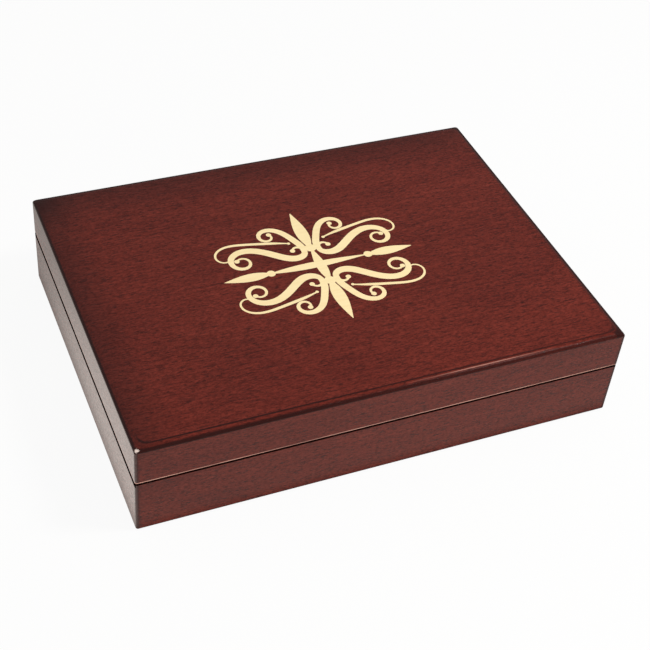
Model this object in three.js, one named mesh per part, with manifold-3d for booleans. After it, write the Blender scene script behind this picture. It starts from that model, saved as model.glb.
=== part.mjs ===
// A low cedar-lined humidor: mitred mahogany base and lid on two brass stop hinges, with a sliding
// divider, and a dial hygrometer and a magnetic humidifier under the lid.
// Millimetres. X runs along the front, +Y to the back, +Z up. The origin is the middle of the underside.

import * as THREE from 'three';
import { mergeVertices } from 'three/addons/utils/BufferGeometryUtils.js';
import Module from 'manifold-3d';

const wasm = await Module();
wasm.setup();

// Box, outside
const boxWidth = 254;
const boxDepth = 190.5;
const baseHeight = 31.2;
const lidHeight = 21.8;
const partingGap = 0.5;
const cornerRadius = 1.2;
const topRoundAcross = 4.6;
const topRoundDown = 2.2;

// Boards
const wallThickness = 12;
const bottomBoardThickness = 6;
const bottomRebate = 6;
const lidBoardThickness = 8;
const feltThickness = 0.8;
const feltInset = 3;

// Cedar lining
const linerThickness = 5;
const floorLinerThickness = 3;
const lidPanelThickness = 3;
const lipRise = 5;
const lipChamfer = 1;
const lipClearance = 0.4;

// Divider
const dividerThickness = 6;
const dividerClearance = 0.4;
const dividerHeadroom = 0.5;
const dividerNotchRadius = 9;

// Ornament let into the lid
const ornamentWidth = 104;
const ornamentHeight = 87;
const inlayDepth = 0.6;
const inlayClearance = 0.05;
const thinStroke = 1.2;
const thickStroke = 4.6;
const mediumStroke = 3.8;
const hairStroke = 0.9;
const hairMiddle = 1.9;
const curlBeadRadius = 1.4;
const hairBeadRadius = 0.9;
const topBeadRadius = 3;
const sideBeadRadius = 2.3;
const leafTip = 0.3;
const topLeafWidth = 6.5;
const sideLeafWidth = 5.6;
const crossBarWidth = 4.4;
const petalWidth = 5.2;

// Hinges
const hingeFromEnd = 37;
const hingeLength = 40;
const leafWidth = 9;
const leafThickness = 1.2;
const flangeDrop = 7;
const knuckleRadius = 1.9;
const knuckleAir = 0.1;
const middleKnuckleLength = 17.4;
const knuckleEndGap = 0.3;
const pinRadius = 0.9;
const pinClearance = 0.06;
const pinHeadRadius = 1.5;
const pinHeadLength = 1.1;
const pinHeadGap = 0.05;
const heelLength = 2.9;
const lidStopAngle = 95;
const mortiseClearance = 0.1;

// Hinge screws
const screwHeadRadius = 2.1;
const screwShankRadius = 1;
const screwLength = 8;
const screwClearance = 0.05;
const screwSink = 0.05;
const screwSlotWidth = 0.6;
const screwSlotDepth = 0.5;

// Humidifier
const humidifierLength = 96;
const humidifierWidth = 38;
const humidifierHeight = 9.5;
const humidifierWall = 1.4;
const humidifierBack = 2.2;
const coverThickness = 1.7;
const coverLipHeight = 1.5;
const coverLipWall = 1;
const coverLipClearance = 0.15;
const slotWidth = 2.6;
const slotLength = 13;
const slotPitch = 8.4;
const slotRowPitch = 16;
const foamClearance = 0.3;
const magnetRadius = 5;
const magnetThickness = 1.5;
const magnetSeatClearance = 0.1;
const magnetGap = 0.1;
const magnetFromEnd = 13;
const steelPlateThickness = 1;

// Hygrometer
const instrumentGap = 23.5;
const caseRadius = 18.5;
const caseWall = 0.8;
const caseDepth = 6.6;
const caseBack = 1;
const pocketClearance = 0.8;
const pocketAir = 0.6;
const ringClearance = 0.1;
const ringHeight = 2;
const bezelRadius = 20.5;
const bezelHeight = 1.8;
const bezelLip = 0.6;
const bezelWindowRadius = 16.4;
const lensRadius = 17.4;
const lensThickness = 1;
const lensClearance = 0.1;
const dialThickness = 0.5;
const dialDepth = 1.6;
const needleLength = 12.5;
const needleTail = 4;
const needleWidth = 0.9;
const needleTipWidth = 0.35;
const needleThickness = 0.4;
const needleDepth = 0.5;
const needleHubRadius = 1.3;
const needleHubThickness = 0.8;
const arborRadius = 0.5;
const arborClearance = 0.2;
const arborLength = 4.2;
const coilThickness = 0.5;
const coilHeight = 1.8;
const coilDepth = 2.7;
const coilInnerRadius = 1.4;
const coilOuterRadius = 9;
const calibrationRadius = 2.5;
const calibrationThickness = 1.5;
const calibrationClearance = 0.08;
const calibrationSlotWidth = 0.7;
const calibrationSlotDepth = 0.6;

// Cutting tools run this far past what they cut
const overrun = 1;

// Counts and angles
const cornerSteps = 3;
const topRoundSteps = 5;
const barrelSides = 16;
const screwSides = 10;
const discSides = 20;
const instrumentSides = 32;
const strokeSteps = 9;
const strokeSubSteps = 12;
const stepsPerSection = 6;
const leafSteps = 6;
const beadSteps = 8;
const slotRows = 2;
const slotColumns = 10;
const coilTurns = 3;
const coilStepsPerTurn = 12;
const restReading = 70;
const dialMiddleReading = 50;
const degreesPerPercent = 2.7;
const needleRestAngle = (restReading - dialMiddleReading) * degreesPerPercent;

// Heights
const carcassZ = feltThickness;
const rimZ = carcassZ + baseHeight;
const lidZ = rimZ + partingGap;
const topZ = lidZ + lidHeight;
const lidBoardZ = topZ - lidBoardThickness;
const panelZ = lidBoardZ - lidPanelThickness;
const bottomBoardTopZ = carcassZ + bottomBoardThickness;
const floorZ = bottomBoardTopZ + floorLinerThickness;

// Inner faces of the walls, of the lid's rails and of the lining, from the middle of the box
const innerX = boxWidth / 2 - wallThickness;
const innerY = boxDepth / 2 - wallThickness;
const railThickness = wallThickness - lipClearance;
const liningX = innerX - linerThickness;
const liningY = innerY - linerThickness;

// The hinge axis runs behind the back face, level with the parting
const axisY = boxDepth / 2 + knuckleRadius + knuckleAir;
const axisZ = rimZ + partingGap / 2;
const hingeSpacing = boxWidth - 2 * hingeFromEnd - hingeLength;
const hingeXs = [-hingeSpacing / 2, hingeSpacing / 2];

// The humidifier, the divider and the hygrometer stand in a row, from left to right, with equal margins
const humidifierMargin = liningX - (humidifierLength + instrumentGap) / 2 - bezelRadius;
const humidifierLeft = humidifierMargin - liningX;
const humidifierRight = humidifierLeft + humidifierLength;
const humidifierX = (humidifierLeft + humidifierRight) / 2;
const dividerX = humidifierRight + instrumentGap / 2;
const hygrometerX = humidifierRight + instrumentGap + bezelRadius;

// Finishes
function finish(color, roughness, metalness = 0) {
  return new THREE.MeshStandardMaterial({ color, roughness, metalness });
}
const mahogany = finish(0x643532, 0.3);
const cedar = finish(0xb9835a, 0.7);
const maple = finish(0xf3dcb4, 0.35);
const brass = finish(0xb8923f, 0.3, 1);
const steel = finish(0xa8aaad, 0.35, 1);
const blackPlastic = finish(0x1d1c1b, 0.45);
const rubber = finish(0x151515, 0.8);
const felt = finish(0x23392c, 0.95);
const foamGreen = finish(0x3f5a3a, 0.95);
const dialWhite = finish(0xf1eee4, 0.5);
const needleBlack = finish(0x141414, 0.4);
const clear = finish(0xffffff, 0.05);
clear.transparent = true;
clear.opacity = 0.3;

const humidor = new THREE.Group();

function add(name, geometry, material) {
  const mesh = new THREE.Mesh(geometry, material);
  mesh.name = name;
  humidor.add(mesh);
}

// Booleans

function signedVolume(positions, index) {
  const a = new THREE.Vector3();
  const b = new THREE.Vector3();
  const c = new THREE.Vector3();
  let six = 0;
  for (let i = 0; i < index.length; i += 3) {
    a.fromArray(positions, index[i] * 3);
    b.fromArray(positions, index[i + 1] * 3);
    c.fromArray(positions, index[i + 2] * 3);
    six += a.dot(b.cross(c));
  }
  return six / 6;
}

// A three.js geometry as a solid, its shared corners merged and its faces pointing out
function toSolid(geometry) {
  const bare = geometry.index ? geometry.toNonIndexed() : geometry.clone();
  bare.deleteAttribute('normal');
  bare.deleteAttribute('uv');
  const merged = mergeVertices(bare);
  const positions = merged.attributes.position.array;
  const triangles = [];
  for (let i = 0; i < merged.index.count; i += 3) {
    const [a, b, c] = [0, 1, 2].map((k) => merged.index.getX(i + k));
    if (a !== b && b !== c && c !== a) {
      triangles.push(a, b, c);
    }
  }
  if (signedVolume(positions, triangles) < 0) {
    triangles.reverse();
  }
  return new wasm.Manifold(new wasm.Mesh({
    numProp: 3,
    vertProperties: new Float32Array(positions),
    triVerts: new Uint32Array(triangles),
  }));
}

function toGeometry(solid) {
  const mesh = solid.getMesh();
  const geometry = new THREE.BufferGeometry();
  geometry.setAttribute('position', new THREE.BufferAttribute(new Float32Array(mesh.vertProperties), 3));
  geometry.setIndex(new THREE.BufferAttribute(new Uint32Array(mesh.triVerts), 1));
  return geometry;
}

function join(...geometries) {
  return toGeometry(geometries.map(toSolid).reduce((whole, next) => whole.add(next)));
}

function cut(geometry, ...tools) {
  return toGeometry(tools.map(toSolid).reduce((whole, tool) => whole.subtract(tool), toSolid(geometry)));
}

// Simple shapes

function block(x0, x1, y0, y1, z0, z1) {
  const box = new THREE.BoxGeometry(x1 - x0, y1 - y0, z1 - z0);
  return box.translate((x0 + x1) / 2, (y0 + y1) / 2, (z0 + z1) / 2);
}

function prism(outline, z0, z1) {
  const shape = new THREE.Shape(outline.map(([x, y]) => new THREE.Vector2(x, y)));
  const geometry = new THREE.ExtrudeGeometry(shape, { depth: z1 - z0, bevelEnabled: false });
  return geometry.translate(0, 0, z0);
}

// A solid of revolution about the Z axis through x, y, from a profile of radius and height
function turned(profile, x, y, sides) {
  const points = profile.map(([radius, z]) => new THREE.Vector2(radius, z));
  const geometry = new THREE.LatheGeometry(points, sides);
  return geometry.rotateX(Math.PI / 2).translate(x, y, 0);
}

function disc(radius, z0, z1, x, y, sides = discSides) {
  return turned([[0, z0], [radius, z0], [radius, z1], [0, z1]], x, y, sides);
}

function hoop(innerRadius, outerRadius, z0, z1, x, y, sides) {
  const profile = [
    [innerRadius, z0],
    [outerRadius, z0],
    [outerRadius, z1],
    [innerRadius, z1],
    [innerRadius, z0],
  ];
  return turned(profile, x, y, sides);
}

// A rod along X through y, z
function rod(radius, x0, x1, y, z, sides = barrelSides) {
  const geometry = new THREE.CylinderGeometry(radius, radius, x1 - x0, sides);
  return geometry.rotateZ(Math.PI / 2).translate((x0 + x1) / 2, y, z);
}

function arc(cx, cy, radius, fromDegrees, toDegrees, steps) {
  const points = [];
  for (let i = 0; i <= steps; i += 1) {
    const angle = THREE.MathUtils.degToRad(fromDegrees + (toDegrees - fromDegrees) * i / steps);
    points.push([cx + radius * Math.cos(angle), cy + radius * Math.sin(angle)]);
  }
  return points;
}

// Closed skin through rings with the same number of points, from the lowest ring to the highest
function skin(rings) {
  const count = rings[0].length;
  const positions = rings.flat(2);
  const index = [];
  for (let r = 0; r < rings.length - 1; r += 1) {
    for (let i = 0; i < count; i += 1) {
      const a = r * count + i;
      const b = r * count + (i + 1) % count;
      index.push(a, b, a + count, b, b + count, a + count);
    }
  }
  const top = (rings.length - 1) * count;
  for (let i = 1; i < count - 1; i += 1) {
    index.push(0, i + 1, i);
    index.push(top, top + i, top + i + 1);
  }
  const geometry = new THREE.BufferGeometry();
  geometry.setAttribute('position', new THREE.BufferAttribute(new Float32Array(positions), 3));
  geometry.setIndex(index);
  return geometry;
}

function roundedRectangle(halfX, halfY, radius, z) {
  return [
    ...arc(halfX - radius, halfY - radius, radius, 0, 90, cornerSteps),
    ...arc(radius - halfX, halfY - radius, radius, 90, 180, cornerSteps),
    ...arc(radius - halfX, radius - halfY, radius, 180, 270, cornerSteps),
    ...arc(halfX - radius, radius - halfY, radius, 270, 360, cornerSteps),
  ].map(([x, y]) => [x, y, z]);
}

// Plan of one mitred side, drawn as the front one: half as long as halfAlong, its outer face at -halfAcross
function mitredPlan(halfAlong, halfAcross, thickness) {
  const turnAlong = halfAlong - cornerRadius;
  const turnAcross = cornerRadius - halfAcross;
  return [
    [thickness - halfAlong, thickness - halfAcross],
    ...arc(-turnAlong, turnAcross, cornerRadius, 225, 270, cornerSteps),
    ...arc(turnAlong, turnAcross, cornerRadius, 270, 315, cornerSteps),
    [halfAlong - thickness, thickness - halfAcross],
  ];
}

// The four sides of a mitred frame, each plan turned a quarter from the last
function mitredFrame(thickness, z0, z1) {
  const halfX = boxWidth / 2;
  const halfY = boxDepth / 2;
  const long = mitredPlan(halfX, halfY, thickness);
  const short = mitredPlan(halfY, halfX, thickness);
  return {
    front: prism(long, z0, z1),
    back: prism(long.map(([x, y]) => [-x, -y]), z0, z1),
    right: prism(short.map(([x, y]) => [-y, x]), z0, z1),
    left: prism(short.map(([x, y]) => [y, -x]), z0, z1),
  };
}

// Hinges

const backY = boxDepth / 2;
const leafFrontY = backY - leafWidth;
const middleKnuckleHalf = middleKnuckleLength / 2;

// Mortises for one leaf, open at the back face: the wing's and, under the base leaf, the flange's
function wingMortise(x, z0, z1) {
  const halfLength = hingeLength / 2 + mortiseClearance;
  return block(x - halfLength, x + halfLength, leafFrontY - mortiseClearance, backY + overrun, z0, z1);
}

function flangeMortise(x) {
  const halfLength = hingeLength / 2 + mortiseClearance;
  const z0 = rimZ - flangeDrop - mortiseClearance;
  return block(x - halfLength, x + halfLength, backY - leafThickness, backY + overrun, z0, rimZ);
}

function screwPlaces(x) {
  const y = backY - leafWidth / 2;
  const screwShare = 0.3;
  return [-screwShare, screwShare].map((share) => [x + share * hingeLength, y]);
}

// Countersunk screw with its head at z, pointing down for direction -1 and up for 1
function screwProfile(z, direction, grow, above) {
  const neckZ = z + direction * (screwHeadRadius - screwShankRadius);
  const tipZ = z + direction * (screwLength + grow);
  return [
    [0, z - direction * above],
    [screwHeadRadius + grow, z - direction * above],
    [screwHeadRadius + grow, z],
    [screwShankRadius + grow, neckZ],
    [screwShankRadius + grow, tipZ],
    [0, tipZ],
  ];
}

function screwHole(x, y, z, direction) {
  const headZ = z + direction * screwSink;
  return turned(screwProfile(headZ, direction, screwClearance, overrun), x, y, screwSides);
}

function screw(x, y, z, direction) {
  const headZ = z + direction * screwSink;
  const profile = screwProfile(headZ, direction, 0, 0).slice(1);
  const body = turned([[0, headZ], ...profile], x, y, screwSides);
  const slotEnds = [headZ - direction * overrun, headZ + direction * screwSlotDepth].sort((a, b) => a - b);
  const reach = screwHeadRadius + overrun;
  const slot = block(x - reach, x + reach, y - screwSlotWidth / 2, y + screwSlotWidth / 2, ...slotEnds);
  return cut(body, slot);
}

function baseLeaf(x) {
  const half = hingeLength / 2;
  const wing = block(x - half, x + half, leafFrontY, backY, rimZ - leafThickness, rimZ);
  const flange = block(x - half, x + half, backY - leafThickness, backY, rimZ - flangeDrop, rimZ);
  const pieces = [wing, flange];
  for (const side of [-1, 1]) {
    const inner = x + side * (middleKnuckleHalf + knuckleEndGap);
    const outer = x + side * half;
    const [x0, x1] = [inner, outer].sort((a, b) => a - b);
    pieces.push(block(x0, x1, backY - leafThickness, axisY, rimZ - leafThickness, rimZ));
    pieces.push(rod(knuckleRadius, x0, x1, axisY, axisZ));
  }
  const bore = rod(pinRadius + pinClearance, x - half - overrun, x + half + overrun, axisY, axisZ);
  const holes = screwPlaces(x).map(([sx, sy]) => screwHole(sx, sy, rimZ, -1));
  return cut(join(...pieces), bore, ...holes);
}

// The heel behind the middle knuckle turns down against the base leaf's flange and stops the lid
function lidLeaf(x) {
  const half = hingeLength / 2;
  const tilt = THREE.MathUtils.degToRad(lidStopAngle - 90);
  const wing = block(x - half, x + half, leafFrontY, backY, lidZ, lidZ + leafThickness);
  const [x0, x1] = [x - middleKnuckleHalf, x + middleKnuckleHalf];
  const tongue = block(x0, x1, backY - leafThickness, axisY, lidZ, lidZ + leafThickness);
  const knuckle = rod(knuckleRadius, x0, x1, axisY, axisZ);
  const heelOutline = [
    [0, -knuckleRadius / Math.cos(tilt)],
    [heelLength, (heelLength * Math.sin(tilt) - knuckleRadius) / Math.cos(tilt)],
    [heelLength, 0],
    [0, 0],
  ];
  const heel = prism(heelOutline, 0, x1 - x0).rotateX(Math.PI / 2).rotateZ(Math.PI / 2);
  heel.translate(x0, axisY, axisZ);
  const bore = rod(pinRadius + pinClearance, x0 - overrun, x1 + overrun, axisY, axisZ);
  const holes = screwPlaces(x).map(([sx, sy]) => screwHole(sx, sy, lidZ, 1));
  return cut(join(wing, tongue, knuckle, heel), bore, ...holes);
}

function hingePin(x) {
  const headStart = hingeLength / 2 + pinHeadGap;
  const headEnd = headStart + pinHeadLength;
  const domeShare = 0.6;
  const profile = [
    [0, -headEnd],
    [pinHeadRadius * domeShare, -headEnd],
    [pinHeadRadius, -headStart - pinHeadLength * domeShare],
    [pinHeadRadius, -headStart],
    [pinRadius, -headStart],
    [pinRadius, headStart],
    [pinHeadRadius, headStart],
    [pinHeadRadius, headStart + pinHeadLength * domeShare],
    [pinHeadRadius * domeShare, headEnd],
    [0, headEnd],
  ];
  return turned(profile, 0, 0, barrelSides).rotateY(Math.PI / 2).translate(x, axisY, axisZ);
}

// Base

const bottomBoardX = innerX + bottomRebate;
const bottomBoardY = innerY + bottomRebate;

function bottomBoard() {
  return block(-bottomBoardX, bottomBoardX, -bottomBoardY, bottomBoardY, carcassZ, bottomBoardTopZ);
}

function addBase() {
  const walls = mitredFrame(wallThickness, carcassZ, rimZ);
  const mortises = hingeXs.flatMap((x) => [
    wingMortise(x, rimZ - leafThickness, rimZ + overrun),
    flangeMortise(x),
    ...screwPlaces(x).map(([sx, sy]) => screwHole(sx, sy, rimZ, -1)),
  ]);
  add('base_front_wall', cut(walls.front, bottomBoard()), mahogany);
  add('base_back_wall', cut(walls.back, bottomBoard(), ...mortises), mahogany);
  add('base_left_wall', cut(walls.left, bottomBoard()), mahogany);
  add('base_right_wall', cut(walls.right, bottomBoard()), mahogany);
  add('base_bottom_board', bottomBoard(), mahogany);
  const feltX = boxWidth / 2 - feltInset;
  const feltY = boxDepth / 2 - feltInset;
  add('base_felt', block(-feltX, feltX, -feltY, feltY, 0, carcassZ), felt);
}

// Section of a liner, across from its inner face and up, with a chamfer that leads the lid on
function addLining() {
  const lipZ = rimZ + lipRise;
  const section = [
    [0, bottomBoardTopZ],
    [linerThickness, bottomBoardTopZ],
    [linerThickness, lipZ - lipChamfer],
    [linerThickness - lipChamfer, lipZ],
    [0, lipZ],
  ];
  // Drawn lying, and stood up so that its height runs along Z
  const strip = (side, inner, halfLength) => {
    const outline = section.map(([across, z]) => [side * (inner + across), z]);
    return prism(outline, -halfLength, halfLength).rotateX(Math.PI / 2);
  };
  add('liner_front', strip(-1, liningY, innerX).rotateZ(Math.PI / 2), cedar);
  add('liner_back', strip(1, liningY, innerX).rotateZ(Math.PI / 2), cedar);
  add('liner_left', strip(-1, liningX, liningY), cedar);
  add('liner_right', strip(1, liningX, liningY), cedar);
  add('liner_floor', block(-liningX, liningX, -liningY, liningY, bottomBoardTopZ, floorZ), cedar);
}

function addDivider() {
  const halfLength = liningY - dividerClearance;
  const x0 = dividerX - dividerThickness / 2;
  const x1 = dividerX + dividerThickness / 2;
  const dividerTopZ = rimZ - dividerHeadroom;
  const board = block(x0, x1, -halfLength, halfLength, floorZ, dividerTopZ);
  add('divider', cut(board, rod(dividerNotchRadius, x0 - overrun, x1 + overrun, 0, dividerTopZ)), cedar);
}

// Ornament: scrolls, leaves and beads drawn in one quarter and mirrored both ways.
// The drawing is one unit high and this share wide from its middle, and is stretched to the real size.

const drawingWidthShare = 1.195;

// Each scroll starts from the middle of its S, at x and y. Its bend there is nothing, and grows by the
// power to the curl at each end, so many radians for each unit of length.
const scrollShares = {
  main: {
    x: 0.445, y: 0.29, heading: 40, power: 1.15, back: 0.66, curlBack: -17, ahead: 1.27, curlAhead: -13.5,
  },
  upper: {
    x: 0.15, y: 0.51, heading: 66, power: 1.2, back: 0.48, curlBack: 12, ahead: 0.86, curlAhead: -17,
  },
  hair: {
    x: 0.67, y: 0.575, heading: 12, power: 1.6, back: 0.46, curlBack: 0.9, ahead: 0.82, curlAhead: -14.5,
  },
};

const beadShares = { topY: 0.31, sideX: 0.62 };
const strokePeakShare = 0.45;
const hairPeakShare = 0.35;
const leafPeakShare = 0.42;

// The first half of a stroke's steps takes this share of it, so that the points crowd towards the curl
const firstHalfShare = 0.607;

// The power that takes one half to a share
function powerFor(share) {
  return Math.log(share) / Math.log(0.5);
}

// The line of one scroll, from the end of its curl at the back to the end of its curl ahead
function scrollLine(share) {
  const walk = (length, curl, start) => {
    const points = [[share.x, share.y]];
    let [x, y] = points[0];
    let angle = start;
    let gone = 0;
    for (let i = 1; i <= strokeSteps; i += 1) {
      const next = length * (i / strokeSteps) ** powerFor(firstHalfShare);
      const step = (next - gone) / strokeSubSteps;
      for (let j = 0; j < strokeSubSteps; j += 1) {
        const bend = curl * ((gone + step / 2) / length) ** share.power * step;
        angle += bend / 2;
        x += Math.cos(angle) * step;
        y += Math.sin(angle) * step;
        angle += bend / 2;
        gone += step;
      }
      points.push([x, y]);
    }
    return points;
  };
  const heading = THREE.MathUtils.degToRad(share.heading);
  const back = walk(share.back, share.curlBack, heading + Math.PI);
  const ahead = walk(share.ahead, share.curlAhead, heading);
  return [...back.reverse(), ...ahead.slice(1)];
}

function drawn([x, y]) {
  return [x * ornamentWidth / 2 / drawingWidthShare, y * ornamentHeight / 2];
}

// The two edges of a band that follows a line, with its width at each share of the line's steps
function bandEdges(line, widthAt) {
  const left = [];
  const right = [];
  line.forEach(([x, y], i) => {
    const [x0, y0] = line[Math.max(i - 1, 0)];
    const [x1, y1] = line[Math.min(i + 1, line.length - 1)];
    const length = Math.hypot(x1 - x0, y1 - y0);
    const half = widthAt(i / (line.length - 1)) / 2;
    const across = [-(y1 - y0) / length * half, (x1 - x0) / length * half];
    left.push([x + across[0], y + across[1]]);
    right.push([x - across[0], y - across[1]]);
  });
  return { left, right };
}

// A band as short outlines end to end, so that none of them curls round onto itself
function bandOutlines(line, widthAt) {
  const { left, right } = bandEdges(line, widthAt);
  const outlines = [];
  for (let i = 0; i < line.length - 1; i += stepsPerSection) {
    const end = Math.min(i + stepsPerSection, line.length - 1) + 1;
    outlines.push([...left.slice(i, end), ...right.slice(i, end).reverse()]);
  }
  return outlines;
}

// Thin at both ends, and thick at the share of the line that is called peak
function swelling(thin, thick, peak, grow) {
  return (t) => {
    const rise = t < peak ? t / peak : (1 - t) / (1 - peak);
    return thin + (thick - thin) * Math.sin(rise * Math.PI / 2) ** 2 + 2 * grow;
  };
}

// A leaf is widest at its peak share, where the power brings the sine's argument to a quarter turn
function leafOutline(from, to, width, grow) {
  const [x0, y0] = drawn(from);
  const [x1, y1] = drawn(to);
  const length = Math.hypot(x1 - x0, y1 - y0);
  const line = [];
  for (let i = 0; i <= leafSteps; i += 1) {
    const t = (i / leafSteps) * (1 + 2 * grow / length) - grow / length;
    line.push([x0 + (x1 - x0) * t, y0 + (y1 - y0) * t]);
  }
  const power = 1 / powerFor(leafPeakShare);
  const widthAt = (t) => leafTip + width * Math.sin(Math.PI * t ** power) + 2 * grow;
  const { left, right } = bandEdges(line, widthAt);
  return [...left, ...right.reverse()];
}

function beadOutline([x, y], radius) {
  return arc(x, y, radius, 0, 360, beadSteps).slice(1);
}

function quarterOutlines(grow) {
  const main = scrollLine(scrollShares.main).map(drawn);
  const upper = scrollLine(scrollShares.upper).map(drawn);
  const hair = scrollLine(scrollShares.hair).map(drawn);
  const topBead = [0, beadShares.topY];
  const sideBead = [beadShares.sideX, 0];
  return [
    ...bandOutlines(main, swelling(thinStroke, thickStroke, strokePeakShare, grow)),
    ...bandOutlines(upper, swelling(thinStroke, mediumStroke, strokePeakShare, grow)),
    ...bandOutlines(hair, swelling(hairStroke, hairMiddle, hairPeakShare, grow)),
    beadOutline(main[0], curlBeadRadius + grow),
    beadOutline(main.at(-1), curlBeadRadius + grow),
    beadOutline(upper.at(-1), curlBeadRadius + grow),
    beadOutline(hair[0], hairBeadRadius + grow),
    beadOutline(hair.at(-1), hairBeadRadius + grow),
    beadOutline(drawn(topBead), topBeadRadius + grow),
    beadOutline(drawn(sideBead), sideBeadRadius + grow),
    leafOutline(topBead, [0, 1], topLeafWidth, grow),
    leafOutline(sideBead, [drawingWidthShare, 0], sideLeafWidth, grow),
    leafOutline([-beadShares.sideX, 0], sideBead, crossBarWidth, grow),
    leafOutline([0, -beadShares.topY], topBead, petalWidth, grow),
  ];
}

function ornamentSolid(grow, z0, z1) {
  const pieces = [];
  for (const outline of quarterOutlines(grow)) {
    for (const [sx, sy] of [[1, 1], [-1, 1], [-1, -1], [1, -1]]) {
      pieces.push(prism(outline.map(([x, y]) => [sx * x, sy * y]), z0, z1));
    }
  }
  return join(...pieces);
}

// Lid

const pocketRadius = caseRadius + pocketClearance;
const pocketTopZ = panelZ + caseDepth + pocketAir;

function lidBoard() {
  const rings = [roundedRectangle(boxWidth / 2, boxDepth / 2, cornerRadius, lidBoardZ)];
  for (let i = 0; i <= topRoundSteps; i += 1) {
    const angle = Math.PI / 2 * i / topRoundSteps;
    const inset = topRoundAcross * (1 - Math.cos(angle));
    const z = topZ - topRoundDown * (1 - Math.sin(angle));
    rings.push(roundedRectangle(boxWidth / 2 - inset, boxDepth / 2 - inset, cornerRadius + inset, z));
  }
  return skin(rings);
}

function addLid() {
  const rails = mitredFrame(railThickness, lidZ, lidBoardZ);
  const mortises = hingeXs.flatMap((x) => [
    wingMortise(x, lidZ - overrun, lidZ + leafThickness),
    ...screwPlaces(x).map(([sx, sy]) => screwHole(sx, sy, lidZ, 1)),
  ]);
  add('lid_front_rail', rails.front, mahogany);
  add('lid_back_rail', cut(rails.back, ...mortises), mahogany);
  add('lid_left_rail', rails.left, mahogany);
  add('lid_right_rail', rails.right, mahogany);

  const pocket = disc(pocketRadius, panelZ - overrun, pocketTopZ, hygrometerX, 0, instrumentSides);
  const inlaySeat = ornamentSolid(inlayClearance, topZ - inlayDepth, topZ + overrun);
  add('lid_top_board', cut(lidBoard(), pocket, inlaySeat), mahogany);
  add('lid_ornament', ornamentSolid(0, topZ - inlayDepth, topZ), maple);

  const railX = boxWidth / 2 - railThickness;
  const railY = boxDepth / 2 - railThickness;
  const panel = block(-railX, railX, -railY, railY, panelZ, lidBoardZ);
  const seats = magnetXs.map((x) => disc(
    magnetRadius + magnetSeatClearance,
    panelZ - overrun,
    panelZ + steelPlateThickness,
    x,
    0,
  ));
  add('lid_cedar_panel', cut(panel, pocket, ...seats), cedar);
}

// Humidifier

const humidifierTopZ = panelZ - magnetGap;
const humidifierBottomZ = humidifierTopZ - humidifierHeight;
const coverTopZ = humidifierBottomZ + coverThickness;
const magnetXs = [humidifierLeft + magnetFromEnd, humidifierRight - magnetFromEnd];

// A block centred under the lid, drawn in from the humidifier's outline
function humidifierBlock(inset, z0, z1) {
  const x0 = humidifierLeft + inset;
  const x1 = humidifierRight - inset;
  const halfY = humidifierWidth / 2 - inset;
  return block(x0, x1, -halfY, halfY, z0, z1);
}

function addHumidifier() {
  const hollowTopZ = humidifierTopZ - humidifierBack;
  const seats = magnetXs.map((x) => disc(
    magnetRadius + magnetSeatClearance,
    humidifierTopZ - magnetThickness,
    humidifierTopZ + overrun,
    x,
    0,
  ));
  const shell = humidifierBlock(0, coverTopZ, humidifierTopZ);
  const hollow = humidifierBlock(humidifierWall, coverTopZ - overrun, hollowTopZ);
  add('humidifier_case', cut(shell, hollow, ...seats), blackPlastic);

  const lipInset = humidifierWall + coverLipClearance;
  const lipTopZ = coverTopZ + coverLipHeight;
  const plate = humidifierBlock(0, humidifierBottomZ, coverTopZ);
  const lip = humidifierBlock(lipInset, humidifierBottomZ, lipTopZ);
  const lipHollow = humidifierBlock(lipInset + coverLipWall, coverTopZ, lipTopZ + overrun);
  const slots = [];
  for (let row = 0; row < slotRows; row += 1) {
    for (let column = 0; column < slotColumns; column += 1) {
      const x = humidifierX + (column - (slotColumns - 1) / 2) * slotPitch;
      const y = (row - (slotRows - 1) / 2) * slotRowPitch;
      const [halfX, halfY] = [slotWidth / 2, slotLength / 2];
      const [z0, z1] = [humidifierBottomZ - overrun, coverTopZ + overrun];
      slots.push(block(x - halfX, x + halfX, y - halfY, y + halfY, z0, z1));
    }
  }
  add('humidifier_cover', cut(join(plate, lip), lipHollow, ...slots), blackPlastic);

  const foamInset = lipInset + coverLipWall + foamClearance;
  add('humidifier_foam', humidifierBlock(foamInset, coverTopZ, hollowTopZ - foamClearance), foamGreen);

  magnetXs.forEach((x, i) => {
    add(`magnet_${i + 1}`, disc(magnetRadius, humidifierTopZ - magnetThickness, humidifierTopZ, x, 0), steel);
    add(`steel_plate_${i + 1}`, disc(magnetRadius, panelZ, panelZ + steelPlateThickness, x, 0), steel);
  });
}

// Hygrometer: it faces down when the lid is shut, and its dial's top is towards the front of the box

function needleOutline() {
  return [
    [-needleWidth / 2, -needleTail],
    [needleWidth / 2, -needleTail],
    [needleTipWidth / 2, needleLength],
    [-needleTipWidth / 2, needleLength],
  ];
}

function coilOutline() {
  const steps = coilTurns * coilStepsPerTurn;
  const line = [];
  for (let i = 0; i <= steps; i += 1) {
    const radius = coilInnerRadius + (coilOuterRadius - coilInnerRadius) * i / steps;
    const angle = 2 * Math.PI * i / coilStepsPerTurn;
    line.push([radius * Math.cos(angle), radius * Math.sin(angle)]);
  }
  const { left, right } = bandEdges(line, () => coilThickness);
  return [...left, ...right.reverse()];
}

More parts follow.
